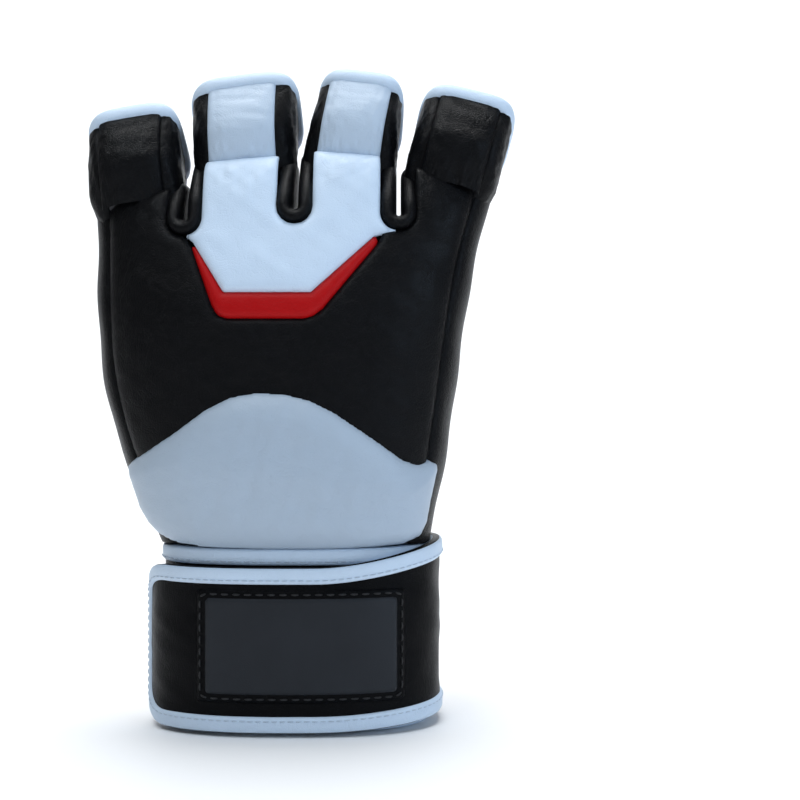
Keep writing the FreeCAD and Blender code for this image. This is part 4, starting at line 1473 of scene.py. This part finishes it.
class GLOVE_OT_stage(Operator):
    """Pale floor, soft studio light and the camera."""

    bl_idname = "glove.stage"
    bl_label = "Stage"

    def execute(self, context):
        scene = context.scene
        scene.view_settings.view_transform = "Standard"
        mesh = bpy.data.meshes.new("floor")
        depth, width, turn, rise, bend = 2.2, 3.0, 0.5, 2.5, 0.6
        profile = [(-depth, 0.0), (turn, 0.0)]
        for a in np.linspace(0.1, math.pi / 2, 14):
            profile.append((turn + bend * math.sin(a), bend - bend * math.cos(a)))
        profile += [(turn + bend, rise)]
        vertices = [(x, y, z - 0.0005) for y, z in profile for x in (-width, width)]
        faces = [(2 * i, 2 * i + 1, 2 * i + 3, 2 * i + 2) for i in range(len(profile) - 1)]
        mesh.from_pydata(vertices, [], faces)
        mesh.polygons.foreach_set("use_smooth", [True] * len(faces))
        mesh.materials.append(glove_materials()["floor"])
        floor = bpy.data.objects.new("floor", mesh)
        context.collection.objects.link(floor)
        for lamp in LIGHTS:
            self.light(context, *lamp)
        world = bpy.data.worlds.new("studio")
        world.use_nodes = True
        world.node_tree.nodes["Background"].inputs["Color"].default_value = (1.0, 1.0, 1.0, 1.0)
        world.node_tree.nodes["Background"].inputs["Strength"].default_value = WORLD_STRENGTH
        scene.world = world
        camera = bpy.data.cameras.new("camera")
        camera.lens, camera.sensor_width = CAMERA_LENS, 36.0
        camera.clip_start = 0.01
        viewer = bpy.data.objects.new("camera", camera)
        context.collection.objects.link(viewer)
        viewer.location = to_row(CAMERA_PLACE).tolist()
        viewer.rotation_euler = (math.pi / 2, 0.0, 0.0)
        scene.camera = viewer
        return {"FINISHED"}

    def light(self, context, name, place, size, power, colour, target):
        lamp = bpy.data.lights.new(name, "AREA")
        lamp.size, lamp.energy, lamp.color = size, power, colour
        piece = bpy.data.objects.new(name, lamp)
        context.collection.objects.link(piece)
        piece.location = place
        aim = Vector(target) - Vector(place)
        piece.rotation_euler = aim.to_track_quat("-Z", "Y").to_euler()


class GLOVE_PT_panel(Panel):
    """Sidebar panel with the glove's sizes, colours and pieces."""

    bl_label = "Grappling glove"
    bl_idname = "GLOVE_PT_panel"
    bl_space_type = "VIEW_3D"
    bl_region_type = "UI"
    bl_category = "Glove"

    def draw(self, context):
        for group in (context.scene.glove_sizes, context.scene.glove_colours):
            box = self.layout.box()
            for key in group.bl_rna.properties.keys():
                if key not in ("rna_type", "name"):
                    box.prop(group, key)
        for operator in OPERATORS:
            self.layout.operator(operator.bl_idname)


OPERATORS = (
    GLOVE_OT_frame_nodes, GLOVE_OT_back, GLOVE_OT_wrist_pad, GLOVE_OT_gussets, GLOVE_OT_palm,
    GLOVE_OT_thumb, GLOVE_OT_fingers, GLOVE_OT_cuff, GLOVE_OT_strap, GLOVE_OT_stitches, GLOVE_OT_stage,
)
CLASSES = (GLOVE_PG_sizes, GLOVE_PG_colours) + OPERATORS + (GLOVE_PT_panel,)


def register():
    for cls in CLASSES:
        bpy.utils.register_class(cls)
    bpy.types.Scene.glove_sizes = PointerProperty(type=GLOVE_PG_sizes)
    bpy.types.Scene.glove_colours = PointerProperty(type=GLOVE_PG_colours)


def unregister():
    del bpy.types.Scene.glove_sizes, bpy.types.Scene.glove_colours
    for cls in reversed(CLASSES):
        bpy.utils.unregister_class(cls)


def main():
    register()
    for operator in OPERATORS:
        group, name = operator.bl_idname.split(".")
        result = getattr(getattr(bpy.ops, group), name)()
        if result != {"FINISHED"}:
            raise RuntimeError(f"{operator.bl_idname} gave {result}")
    bpy.context.view_layer.update()


if __name__ == "__main__":
    main()
